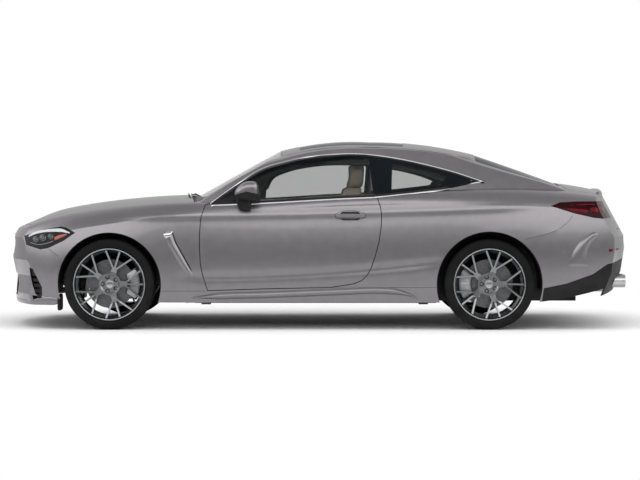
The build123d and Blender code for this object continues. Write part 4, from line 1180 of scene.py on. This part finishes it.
class Cabin:
    """Seats, door linings and what else shows through the glass.

    Args:
        tools: the mesh tools.
        seat: front seat sizes.
    """

    PRESSURE = 1.2
    FRAMES = 20
    FILL = 0.85
    STITCH = 0.006

    def __init__(self, tools: MeshTools, seat: SeatSizes) -> None:
        self.tools, self.seat = tools, seat
        self.stuffed: dict[tuple, np.ndarray] = {}

    def build(self) -> None:
        """Makes the seats and linings."""
        for side, sign in SIDES.items():
            self.front_seat(side, sign)
            self.door_card(side)
        self.rear_seat()
        self.lining("side_lining", np.linspace(-0.74, 1.95, 270), np.linspace(0.93, 1.33, 56),
                    "Y", (-0.02, -1.0))
        self.lining("headlining", np.linspace(-0.24, 1.24, 150), np.linspace(-0.53, 0.0, 54),
                    "Z", (1.05, 1.0))
        self.window_trim("roof_rail_trim",
                         [(-0.66, 1.060), (-0.50, 1.168), (-0.35, 1.238), (-0.15, 1.288),
                          (0.1, 1.318), (0.38, 1.318), (0.68, 1.272), (0.92, 1.218),
                          (1.10, 1.162)],
                         [(-0.42, 1.050), (-0.37, 1.140), (-0.27, 1.188), (-0.12, 1.226),
                          (0.1, 1.250), (0.38, 1.244), (0.66, 1.206), (0.84, 1.162),
                          (0.96, 1.118)])
        self.window_trim("pillar_trim",
                         [(0.398, 1.27), (0.392, 1.16), (0.385, 1.06), (0.380, 0.985)],
                         [(0.565, 1.25), (0.562, 1.16), (0.556, 1.06), (0.550, 0.985)])
        self.window_trim("front_pillar_trim",
                         [(-0.70, 1.020), (-0.74, 0.985), (-0.765, 0.955), (-0.78, 0.93)],
                         [(-0.425, 1.085), (-0.435, 1.03), (-0.44, 0.98), (-0.44, 0.93)])

    def pad(self, name: str, half: tuple, power: float, bend: Callable, at: tuple,
            n: int) -> bpy.types.Object:
        """A stuffed pad: a rounded box that a function bends.

        Args:
            name: the piece's name.
            half: half sizes.
            power: how square the box is.
            bend: changes its second argument, a copy of the points in its first.
            at: where its middle goes.
            n: vertices along an edge.

        Returns:
            The new object.
        """
        points, faces = rounded_box(n, half, power)
        full = self.stuff(points, faces, half)
        bent = full.copy()
        bend(full, bent)
        piece = self.tools.add(name, bent + at, faces, Look.LEATHER)
        return piece

    def stuff(self, points: np.ndarray, faces: np.ndarray, half: tuple,
              cap: float = 0.026) -> np.ndarray:
        """Blows a shell up as cloth under pressure, and scales it back to its half sizes.

        Args:
            points: vertices of the closed shell round the origin.
            faces: its quads.
            half: half sizes to keep.
            cap: how far a vertex may move, in metres.

        Returns:
            The settled vertices; pads of one size share one simulation.
        """
        if half in self.stuffed:
            return self.stuffed[half]
        scene = bpy.context.scene
        mesh = bpy.data.meshes.new("stuffing")
        mesh.from_pydata(points.tolist(), [], faces.tolist())
        form = link_object("stuffing", mesh)
        settings = form.modifiers.new("cloth", "CLOTH").settings
        settings.use_pressure = True
        settings.uniform_pressure_force = self.PRESSURE
        settings.effector_weights.gravity = 0.0
        settings.quality = 6
        settings.mass = 0.3
        settings.bending_stiffness = 2.0
        for frame in range(1, self.FRAMES + 1):
            scene.frame_set(frame)
        solid = form.evaluated_get(bpy.context.evaluated_depsgraph_get())
        out = np.empty(points.size)
        solid.data.vertices.foreach_get("co", out)
        scene.frame_set(1)
        bpy.data.objects.remove(form)
        shift = out.reshape(-1, 3) - points
        shift -= shift.mean(axis=0)
        far = np.linalg.norm(shift, axis=1, keepdims=True)
        log.info("stuffing %s moved up to %.1f mm", half, far.max() * 1000)
        full = points + shift * np.minimum(1, cap / np.maximum(far, 1e-9))
        self.stuffed[half] = full * (np.asarray(half) / np.abs(full).max(axis=0))
        return self.stuffed[half]

    def stitches(self, along: np.ndarray, places: tuple) -> np.ndarray:
        """Height 1 on stitched lines across a pad, and 0 between them."""
        return sum(bump(along, place, self.STITCH) for place in places)

    def front_seat(self, side: str, sign: float) -> None:
        """Cushion, backrest, headrest, posts and base of one front seat.

        The cushion's top is z + b s(|y|) - c(x), with side bolsters b and stitched lines c.
        """
        s = self.seat
        y_mid = sign * s.y

        def cushion(p: np.ndarray, q: np.ndarray) -> None:
            y = np.abs(p[:, 1])
            inner = 1 - step(y, 0.12, 0.15)
            lines = self.stitches(p[:, 0], (-0.13, -0.05, 0.03, 0.11))
            q[:, 2] += (p[:, 2] > 0) * (0.032 * step(y, 0.13, 0.19)
                                        - (0.006 * lines + 0.012) * inner)
            q[:, 2] += 0.03 * step(-p[:, 0], 0.05, 0.25) - 0.02

        def backrest(p: np.ndarray, q: np.ndarray) -> None:
            y = np.abs(p[:, 1])
            bolster = 0.045 * step(y, 0.12, 0.19) * (1 - 0.5 * step(p[:, 2], 0.1, 0.3))
            lines = self.stitches(p[:, 2], (-0.18, -0.10, -0.02, 0.06))
            inner = 1 - step(y, 0.11, 0.14)
            q[:, 0] -= (p[:, 0] < 0) * (bolster - 0.006 * lines * inner)
            q[:, 1] *= 1 - 0.16 * step(p[:, 2], 0.05, 0.33)
            q[:, 0] += s.recline * (p[:, 2] + 0.3)

        def headrest(p: np.ndarray, q: np.ndarray) -> None:
            q[:, 0] += 0.10 * p[:, 2] - 0.012 * (1 - (p[:, 1] / 0.13) ** 2)
            q[:, 1] *= 1 - 0.12 * step(p[:, 2], 0.0, 0.09)

        points, faces = rounded_box(14, (0.225, 0.19, 0.055), 8)
        self.tools.add(f"seat_base_{side}", points + (s.x + 0.28, y_mid, 0.27), faces, Look.DASH)
        first = self.pad(f"seat_cushion_{side}", (0.265, s.width / 2, 0.075), 5, cushion,
                         (s.x + 0.255, y_mid, 0.390), 40)
        self.pad(f"seat_back_{side}", (0.062, s.width / 2, 0.34), 5, backrest,
                 (s.x + 0.545, y_mid, 0.735), 40)
        self.pad(f"headrest_{side}", (0.055, 0.135, 0.086), 4, headrest,
                 (s.x + 0.694, y_mid, 1.158), 24)
        for k, y in enumerate((y_mid - 0.055, y_mid + 0.055)):
            line = np.linspace((s.x + 0.684, y, 1.03), (s.x + 0.692, y, 1.10), 8)
            self.tools.add(f"headrest_post_{side}_{k}", *tube(line, 0.006, 14), Look.SATIN)
        if side == "left":
            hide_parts("front_seats")

    def rear_seat(self) -> None:
        """A two-place bench: cushion and back with a raised middle."""
        def hollow(p: np.ndarray, k: int, lines: tuple) -> np.ndarray:
            low = bump(np.abs(p[:, 1]), 0.29, 0.15)
            return 0.022 * low + 0.005 * self.stitches(p[:, k], lines) * (low > 0.3)

        def cushion(p: np.ndarray, q: np.ndarray) -> None:
            q[:, 2] -= (p[:, 2] > 0) * hollow(p, 0, (-0.08, 0.0, 0.08))

        def back(p: np.ndarray, q: np.ndarray) -> None:
            q[:, 0] += (p[:, 0] < 0) * hollow(p, 2, (-0.14, -0.06, 0.02)) + 0.42 * p[:, 2]

        seat = self.pad("rear_seat_cushion", (0.16, 0.575, 0.075), 6, cushion,
                        (0.79, 0, 0.375), 50)
        self.pad("rear_seat_back", (0.055, 0.575, 0.235), 6, back, (1.13, 0, 0.685), 50)
        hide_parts("rear_seat")

    def window_trim(self, name: str, outer: list, inner: list, gap: float = 0.030,
                    thick: float = 0.014) -> None:
        """A dark moulding inside the side glass, between two lines seen from the side.

        Its cross-section is a closed loop: the side next to the glass lies at gap from it,
        crowned by 4 mm, and its back lies further in.

        Args:
            name: the piece's name, before its side.
            outer: (x, z) points of its outer edge.
            inner: (x, z) points of its inner edge.
            gap: distance from the glass.
            thick: thickness.
        """
        rows = max(12, int(length(outer) / 0.02))
        v = np.linspace(0, 1, 9)[:, None]
        front = spread(smooth_line(outer, rows)[:, None] * (1 - v)
                       + smooth_line(inner, rows)[:, None] * v, "Y")
        hit = self.tools.project(front, "Y", ["door_glass_left", "quarter_windows"], -1.4)
        y = settle(hit[..., 1], (3, 1)) + gap
        back = front.copy()
        front[..., 1] = y - 0.004 * (1 - (2 * v[:, 0] - 1) ** 2)
        back[..., 1] = y + thick
        loop = np.concatenate([front, back[:, ::-1]], axis=1)
        ends = loop.mean(axis=1, keepdims=True)
        caps = loop * TINY + ends * (1 - TINY)
        loop = np.concatenate([caps[:1], loop, caps[-1:]])
        faces = grid_faces(*loop.shape[:2], closed_columns=True)
        volume = np.cross(loop[1, 8] - loop[1, 0], loop[2, 0] - loop[1, 0])[1]
        self.tools.pair(name, loop, faces[:, ::-1] if volume > 0 else faces, Look.LINING)

    def lining(self, name: str, first: np.ndarray, second: np.ndarray, axis: str,
               ray: tuple[float, float]) -> None:
        """Cloth over the inside of the shell, found by rays from the cabin outwards.

        A quad stays where its four rays meet the shell within 50 mm of each other; it
        lies 2 mm inside what they met.

        Args:
            name: the piece's name, before its side.
            first: places along X.
            second: places along the other free axis.
            axis: the rays' axis.
            ray: where they start, and 1 or -1 for the way they go.
        """
        grid = spread(np.stack(level(first, second), axis=-1), axis)
        hit = self.tools.project(grid, axis, ["body_shell", "roof_panel"], *ray).reshape(-1, 3)
        k = "XYZ".index(axis)
        faces = grid_faces(*grid.shape[:2])
        near = hit[:, k][faces]
        keep = np.nan_to_num(near.max(axis=1) - near.min(axis=1), nan=1.0) < 0.05
        hit[:, k] -= ray[1] * 0.002
        used, faces = np.unique(faces[keep], return_inverse=True)
        self.tools.pair(name, hit[used], faces.reshape(-1, 4)[:, ::-1], Look.LINING)

    def door_card(self, side: str) -> None:
        """The door's lining: a panel with an armrest, a pocket and a pull.

        y = 0.7402 - rim (0.010 + 0.042 armrest + 0.022 pocket + 0.006 upper part).
        """
        x, z = level(np.linspace(-0.775, 0.44, 90), np.linspace(0.335, 0.925, 60))
        rest = bump(z, 0.655, 0.03) * step(x, -0.45, -0.3) * (1 - step(x, 0.28, 0.4))
        pocket = bump(z, 0.42, 0.05) * step(x, -0.68, -0.6) * (1 - step(x, -0.1, 0.0))
        rim = np.minimum.reduce([step(x, -0.775, -0.755), 1 - step(x, 0.42, 0.44),
                                 step(z, 0.335, 0.355), 1 - step(z, 0.905, 0.925)])
        y = 0.7402 - rim * (0.010 + 0.042 * rest + 0.022 * pocket + 0.006 * step(z, 0.72, 0.74))
        self.tools.pair("door_card", np.stack([x, -y, z], axis=-1), grid_faces(*x.shape),
                        Look.LINING, "door_{s}", sides=(side,))


def tube(line: np.ndarray, radius: float, around: int) -> tuple[np.ndarray, np.ndarray]:
    """A tube along a line: p(s) + r (n cos a + b sin a), closed by sunk ends.

    Args:
        line: (n, 3) points.
        radius: its radius.
        around: vertices round it.

    Returns:
        Points and faces.
    """
    along = unit(np.gradient(line, axis=0))
    up = np.where(np.abs(along[:, 2:3]) > 0.9, (0.0, 1.0, 0.0), (0.0, 0.0, 1.0))
    side = unit(np.cross(up, along))
    over = np.cross(along, side)
    a = np.linspace(0, 2 * np.pi, around, endpoint=False)[:, None]
    size = np.full(len(line), radius)
    size[[0, -1]] = radius * TINY
    ring = side[:, None] * np.cos(a) + over[:, None] * np.sin(a)
    return (line[:, None] + ring * size[:, None, None],
            grid_faces(len(line), around, closed_columns=True))


def squared(turn: np.ndarray, power: float) -> tuple[np.ndarray, np.ndarray]:
    """Cosine and sine raised to a power with their signs kept: a superellipse."""
    return tuple(np.sign(f) * np.abs(f) ** power for f in (np.cos(turn), np.sin(turn)))


# ------------------------------------------------------------------ wipers and mirrors
class Fittings:
    """Wipers, mirrors, the front valance and the flaps ahead of the front wheels.

    Args:
        tools: the mesh tools.
    """

    HEAD = [(-0.626, 1.022), (-0.623, 1.045), (-0.609, 1.070), (-0.587, 1.093),
            (-0.560, 1.111), (-0.530, 1.120), (-0.497, 1.1215), (-0.470, 1.116),
            (-0.452, 1.096), (-0.444, 1.062), (-0.443, 1.026), (-0.450, 1.003),
            (-0.472, 0.988), (-0.512, 0.981), (-0.562, 0.981), (-0.600, 0.992),
            (-0.620, 1.006)]
    FOOT = [(-0.612, 1.000), (-0.613, 0.965), (-0.606, 0.935), (-0.590, 0.914),
            (-0.565, 0.9065), (-0.522, 0.9055), (-0.5075, 0.912), (-0.507, 0.935),
            (-0.514, 0.968), (-0.521, 1.000)]
    LIP = [(-2.396, 0.0), (-2.387, -0.16), (-2.360, -0.32), (-2.315, -0.48), (-2.249, -0.64),
           (-2.18, -0.748), (-2.10, -0.818), (-2.02, -0.866), (-1.962, -0.886)]

    def __init__(self, tools: MeshTools) -> None:
        self.tools = tools

    def build(self) -> None:
        """Makes the pieces."""
        self.wiper("left", [(-0.955, -0.60), (-0.995, -0.45), (-1.02, -0.25), (-1.03, -0.06)])
        self.wiper("right", [(-1.02, 0.06), (-1.01, 0.25), (-0.985, 0.45), (-0.945, 0.60)])
        self.mirrors()
        self.lip()
        points, faces = rounded_box(10, (0.012, 0.095, 0.062), 6)
        for side, sign in SIDES.items():
            self.tools.add(f"arch_flap_{side}", points + (-1.966, sign * 0.790, 0.202), faces,
                           Look.BLACK)

    def lip(self) -> None:
        """Painted valance under the front bumper, from wheel arch to wheel arch.

        Its section is a superellipse swept along a plan curve: out = 0.020 c - 0.014 and
        z = m + h s, with c and s the signed square roots of the cosine and sine.
        """
        path = smooth_line([*[(x, -y) for x, y in self.LIP[:0:-1]], *self.LIP], 160)
        along = unit(np.gradient(path, axis=0))
        out = np.stack([along[:, 1], -along[:, 0]], axis=1)
        c, s = squared(np.linspace(0, 2 * np.pi, 24, endpoint=False), 0.5)
        back = step(path[:, 0], -2.20, -2.05)[:, None]
        run = np.linspace(-1, 1, len(path))[:, None]
        size = np.maximum(1 - np.abs(run) ** 60, TINY)
        flat = path[:, None] + out[:, None] * ((0.020 * c * size - 0.014)[..., None])
        z = 0.201 + 0.014 * back + (0.023 + 0.010 * back) * s * size
        grid = np.concatenate([flat, z[..., None]], axis=-1)
        self.tools.add("front_lip", grid, grid_faces(*grid.shape[:2], closed_columns=True),
                       Look.PAINT)

    def mirrors(self) -> None:
        """Both door mirrors: black bowl, painted cap, hooked foot and glass."""
        centre = (-0.535, 1.045)
        out = [-0.874, -0.885, -0.900, -0.925, -0.955, -0.985, -1.010, -1.027, -1.037, -1.041]
        size = np.array([0.40, 0.66, 0.80, 0.93, 1.0, 0.985, 0.92, 0.81, 0.62, 0.30])
        bowl = self.loaf(self.HEAD, out, size, centre, flat_x=-0.447)
        cap = self.loaf(self.HEAD[:11], out, size * 1.014, centre, flat_x=-0.4455,
                        closed=False)
        cap[..., 1] += np.sign(cap[..., 1] + 0.955) * 0.0012
        foot = self.loaf(self.FOOT, [-0.8455, -0.847, -0.852, -0.880, -0.915, -0.935, -0.944,
                                     -0.947],
                         np.array([0.70, 0.90, 0.985, 1.0, 1.0, 0.97, 0.85, 0.55]),
                         (-0.56, 0.955))
        radius, turn = level(np.linspace(TINY, 1, 8), np.linspace(0, 2 * np.pi, 61))
        c, s = squared(turn, 0.75)
        glass = np.stack([-0.4452 - 0.0006 * radius**4, -0.957 + 0.062 * radius * c,
                          1.050 + 0.040 * radius * s], axis=-1)
        for side in SIDES:
            for name, grid, closed, way, look, slot in (
                    ("bowl", bowl, True, 1, Look.BLACK, ""),
                    ("cap", cap, False, 1, Look.PAINT, ""),
                    ("foot", foot, True, 1, Look.BLACK, ""),
                    ("glass", glass, False, -1, Look.CHROME, "glass")):
                faces = grid_faces(*grid.shape[:2], closed_columns=closed)[:, ::way]
                piece, = self.tools.pair(f"mirror_{name}", grid, faces, look, "door_{s}",
                                         slot, (side,))
                if name == "bowl":
                    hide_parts(f"mirror_{side}")

    @staticmethod
    def loaf(loop: list, out: list, size: np.ndarray, centre: tuple,
             flat_x: float = 9.0, closed: bool = True) -> np.ndarray:
        """Sweeps a side-view loop along y, scaled about a centre at each station.

        Point k at station i is c + s_i (p_k - c); the stations are eased by a curve through
        out and size, and the ends shrink to 2 % to close the form.

        Args:
            loop: (x, z) points.
            out: y of the stations.
            size: scale at the stations.
            centre: (x, z) that the loop shrinks towards.
            flat_x: points behind this x are pressed flat.
            closed: whether the loop is a ring.

        Returns:
            (stations, points, 3) grid.
        """
        ring = smooth_line([*loop, loop[0]] if closed else loop, 65)
        ring = ring[:-1] if closed else ring
        path = smooth_line(np.stack([out, size * 0.05], axis=1), 30)
        y, scale = path[:, 0], path[:, 1] / 0.05
        y, scale = np.r_[y[0], y, y[-1]], np.r_[TINY, scale, TINY]
        grid = spread((ring[None] - centre) * scale[:, None, None] + centre, "Y")
        grid[..., 1] = y[:, None]
        grid[..., 0] = np.minimum(grid[..., 0], flat_x)
        return grid

    def wiper(self, side: str, path: list) -> None:
        """One wiper: its blade lies just over the screen's lower edge."""
        hit = self.tools.project(spread(smooth_line(path, 40), "Z"), "Z",
                                 ["windscreen", "cowl", "body_shell", "hood"], 1.8)
        hit[:, 2] = settle(hit[:, 2:3], (3, 0))[:, 0]
        self.tools.add(f"wiper_blade_{side}", *tube(hit + (0, 0, 0.005), 0.0035, 12), Look.BLACK)
        arm = smooth_line([hit[k] + (0, 0, rise) for k, rise in
                           ((-4, 0.002), (-6, 0.013), (20, 0.013), (14, 0.008))], 24)
        self.tools.add(f"wiper_arm_{side}", *tube(arm, 0.004, 12), Look.BLACK)


# ------------------------------------------------------------------ studio
@dataclass(frozen=True)
class StudioSizes:
    """Camera and world: places in metres, the lens in millimetres, strengths."""

    camera: tuple = (0.0153, -15.93, 1.15)
    aim: tuple = (0.0153, -0.93, 0.679)
    lens: float = 111.8
    world: float = 0.92
    mirrored: float = 0.45


class Studio:
    """Floor, lights, world and the camera that stands where the photographer stood.

    Args:
        sizes: places and strengths.
    """

    LIGHTS = (("key_over", (0.0, -1.5, 6.5), (0.0, 0.0, 0.6), 190, (9.0, 4.0)),
              ("side_soft", (-2.0, -9.0, 4.0), (0.0, -0.9, 0.6), 90, (7.0, 3.0)),
              ("tail_soft", (8.0, -2.0, 3.5), (1.5, 0.0, 0.7), 40, (4.0, 3.0)))

    def __init__(self, sizes: StudioSizes) -> None:
        self.sizes = sizes

    def build(self) -> None:
        """Makes the stage."""
        scene, s = bpy.context.scene, self.sizes
        scene.view_settings.view_transform = "Standard"
        scene.world = self.world()
        self.card()
        self.floor()
        for light in self.LIGHTS:
            self.light(*light)
        data = bpy.data.cameras.new("camera")
        data.lens, data.sensor_width, data.clip_end = s.lens, 36.0, 200
        camera = scene.camera = link_object("camera", data)
        self.aim(camera, s.camera, s.aim)

    @staticmethod
    def aim(thing: bpy.types.Object, place: tuple, target: tuple) -> None:
        """Puts a camera or lamp in its place, looking at a point, as part of the stage."""
        thing.location = place
        way = Vector(target) - Vector(place)
        thing.rotation_euler = way.to_track_quat("-Z", "Y").to_euler()
        thing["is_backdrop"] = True

    def world(self) -> bpy.types.World:
        """A white surround that mirrors as a darker one with a bright band on one side."""
        s = self.sizes
        world = bpy.data.worlds.new("studio")
        world.use_nodes = True
        back = world.node_tree.nodes["Background"].inputs
        n = Nodes(world.node_tree)
        y, z = n.axes("Generated")[1:]
        band = n.ramp(z, 0.16, 0.30) * n.ramp(z, 0.88, 0.50) * n.ramp(y, 0.70, 0.30)
        mirrored = band * 1.70 + n.ramp(y, 0.20, 0.90) * 0.12 + s.mirrored
        seen = n.ray("Is Camera Ray") * (1.0 - s.world) + s.world
        n.feed(back["Color"], (1, 1, 1, 1))
        n.feed(back["Strength"], seen + (mirrored - s.world) * n.ray("Is Glossy Ray"))
        return world

    @staticmethod
    def sheet(name: str, grid: np.ndarray, faces: np.ndarray) -> tuple:
        """A stage piece with its own material.

        Args:
            name: the piece's name.
            grid: (rows, columns, 3) vertices.
            faces: its faces.

        Returns:
            The object, its material's node helper and its shader.
        """
        material = bpy.data.materials.new(f"studio_{name}")
        material.use_nodes = True
        piece = mesh_object(name, grid, faces, material)
        piece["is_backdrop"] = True
        return piece, Nodes(material.node_tree), material.node_tree.nodes["Principled BSDF"]

    def floor(self) -> None:
        """A pale floor that fades to the white background away from the car.

        Seen directly, it glows white by the share of its distance sqrt((0.45 x)^2 + y^2)
        between 2 m and 3.6 m. Mirrored, it darkens towards |y| = 5.5 m.
        """
        x, y = level(*[np.linspace(-60, 60, 25)] * 2)
        n, shader = self.sheet("floor", np.stack([x, y, 0 * x], axis=-1),
                               grid_faces(25, 25)[:, ::-1])[1:]
        x, y = n.axes()[:2]
        dark = n.ramp(abs(y), 2.2, 5.5, 0.10, 0.60) * n.ray("Is Glossy Ray")
        n.feed(shader.inputs["Roughness"], 0.85)
        n.feed(shader.inputs["Base Color"],
               n.mix(dark, (0.93, 0.93, 0.93, 1), (0.05, 0.05, 0.052, 1)))
        wide = x * 0.45
        reach = n.math("SQRT", wide * wide + y * y)
        blend = n.new("ShaderNodeMixShader")
        for socket, value in zip(blend.inputs, (
                n.ramp(reach, 2.0, 3.6) * n.ray("Is Camera Ray"), Value(n, shader.outputs[0]),
                Value(n, n.new("ShaderNodeEmission").outputs[0]))):
            n.feed(socket, value)
        n.feed(n.tree.nodes["Material Output"].inputs["Surface"], Value(n, blend.outputs[0]))

    def card(self) -> None:
        """A grey card behind the camera, which the car's side mirrors."""
        x, z = level(np.linspace(-30, 30, 5), np.linspace(0, 6.5, 5))
        card, n, shader = self.sheet("card", np.stack([x, 0 * x - 24.0, z], axis=-1),
                                     grid_faces(5, 5))
        n.feed(shader.inputs["Base Color"], (0.16, 0.16, 0.165, 1))
        card.visible_camera = False

    def light(self, name: str, place: tuple, aim: tuple, power: float, size: tuple) -> None:
        """Adds one rectangular soft light that looks at a point."""
        data = bpy.data.lights.new(name, "AREA")
        data.shape, data.energy, (data.size, data.size_y) = "RECTANGLE", power, size
        lamp = link_object(name, data)
        lamp.visible_glossy = False
        self.aim(lamp, place, aim)


# ------------------------------------------------------------------ the whole car
CAD_LOOKS = {
    Look.PAINT: ["body_shell", "roof_panel", "front_fenders", "side_skirts", "front_bumper",
                 "rear_bumper", "door_left", "door_right", "hood", "boot_lid", "mirror_left",
                 "mirror_right"],
    Look.BLACK: ["diffuser", "cowl", "front_grille", "lower_grilles", "wheel_liners"],
    Look.GLASS: ["windscreen", "door_glass_left", "door_glass_right", "quarter_windows"],
    Look.REAR_GLASS: ["rear_window"],
    Look.DARK_GLASS: ["roof_glass"],
    Look.LAMP_BLACK: ["headlamps"],
    Look.LAMP_RED: ["tail_lamps"],
    Look.STEEL: ["chassis", "front_subframe", "front_knuckle_left", "front_knuckle_right",
                 "rear_axle", "engine"],
    Look.SATIN: ["exhaust"],
    Look.ALLOY: [f"wheel_{end}_{side}" for end in ("front", "rear") for side in SIDES],
    Look.IRON: [f"brake_disc_{end}_{side}" for end in ("front", "rear") for side in SIDES],
    Look.DASH: ["dashboard", "steering_wheel"],
}


class Coupe:
    """Puts the dressed car together.
    """

    AXLES = {
        "front": WheelSizes(FRONT_AXLE_X, 0.810, 0.265, 0.0, "steer_{s}"),
        "rear": WheelSizes(REAR_AXLE_X, 0.812, 0.285, math.pi, "body"),
    }

    def __init__(self, frame: dict) -> None:
        self.tools = MeshTools(frame, MaterialShop(GroupLibrary()))

    def finish_cad(self) -> None:
        """Gives every CAD node its procedural finish."""
        for look, names in CAD_LOOKS.items():
            material = self.tools.shop.get(look)
            for name in names:
                node = self.tools.nodes[name]
                if not node.material_slots:
                    node.data.materials.append(material)
                for held in node.material_slots:
                    held.material = material
                log.info("%s is %s", name, look.name.lower())

    def build(self) -> None:
        """Makes every piece."""
        self.finish_cad()
        dresser = Dresser(self.tools)
        Exterior(dresser, TrimSizes()).build()
        Lamps(dresser).build()
        for axle, sizes in self.AXLES.items():
            for side in SIDES:
                Wheel(self.tools, axle, side, sizes).build()
        Cabin(self.tools, SeatSizes()).build()
        Fittings(self.tools).build()


def corners(box: tuple) -> list:
    """A pair of box corners as plain lists."""
    return [[float(c) for c in corner] for corner in box]


def main(frame: dict) -> None:
    """Builds the car and its studio.
    """
    logging.basicConfig(level=logging.INFO, format="%(name)s: %(message)s")
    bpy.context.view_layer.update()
    car = Coupe(frame)
    car.build()
    Studio(StudioSizes()).build()
    bpy.context.view_layer.update()
    dressed = corners(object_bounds())
    log.info("%d pieces; box %s", car.tools.count, dressed)


if __name__ == "__main__":
    main(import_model())
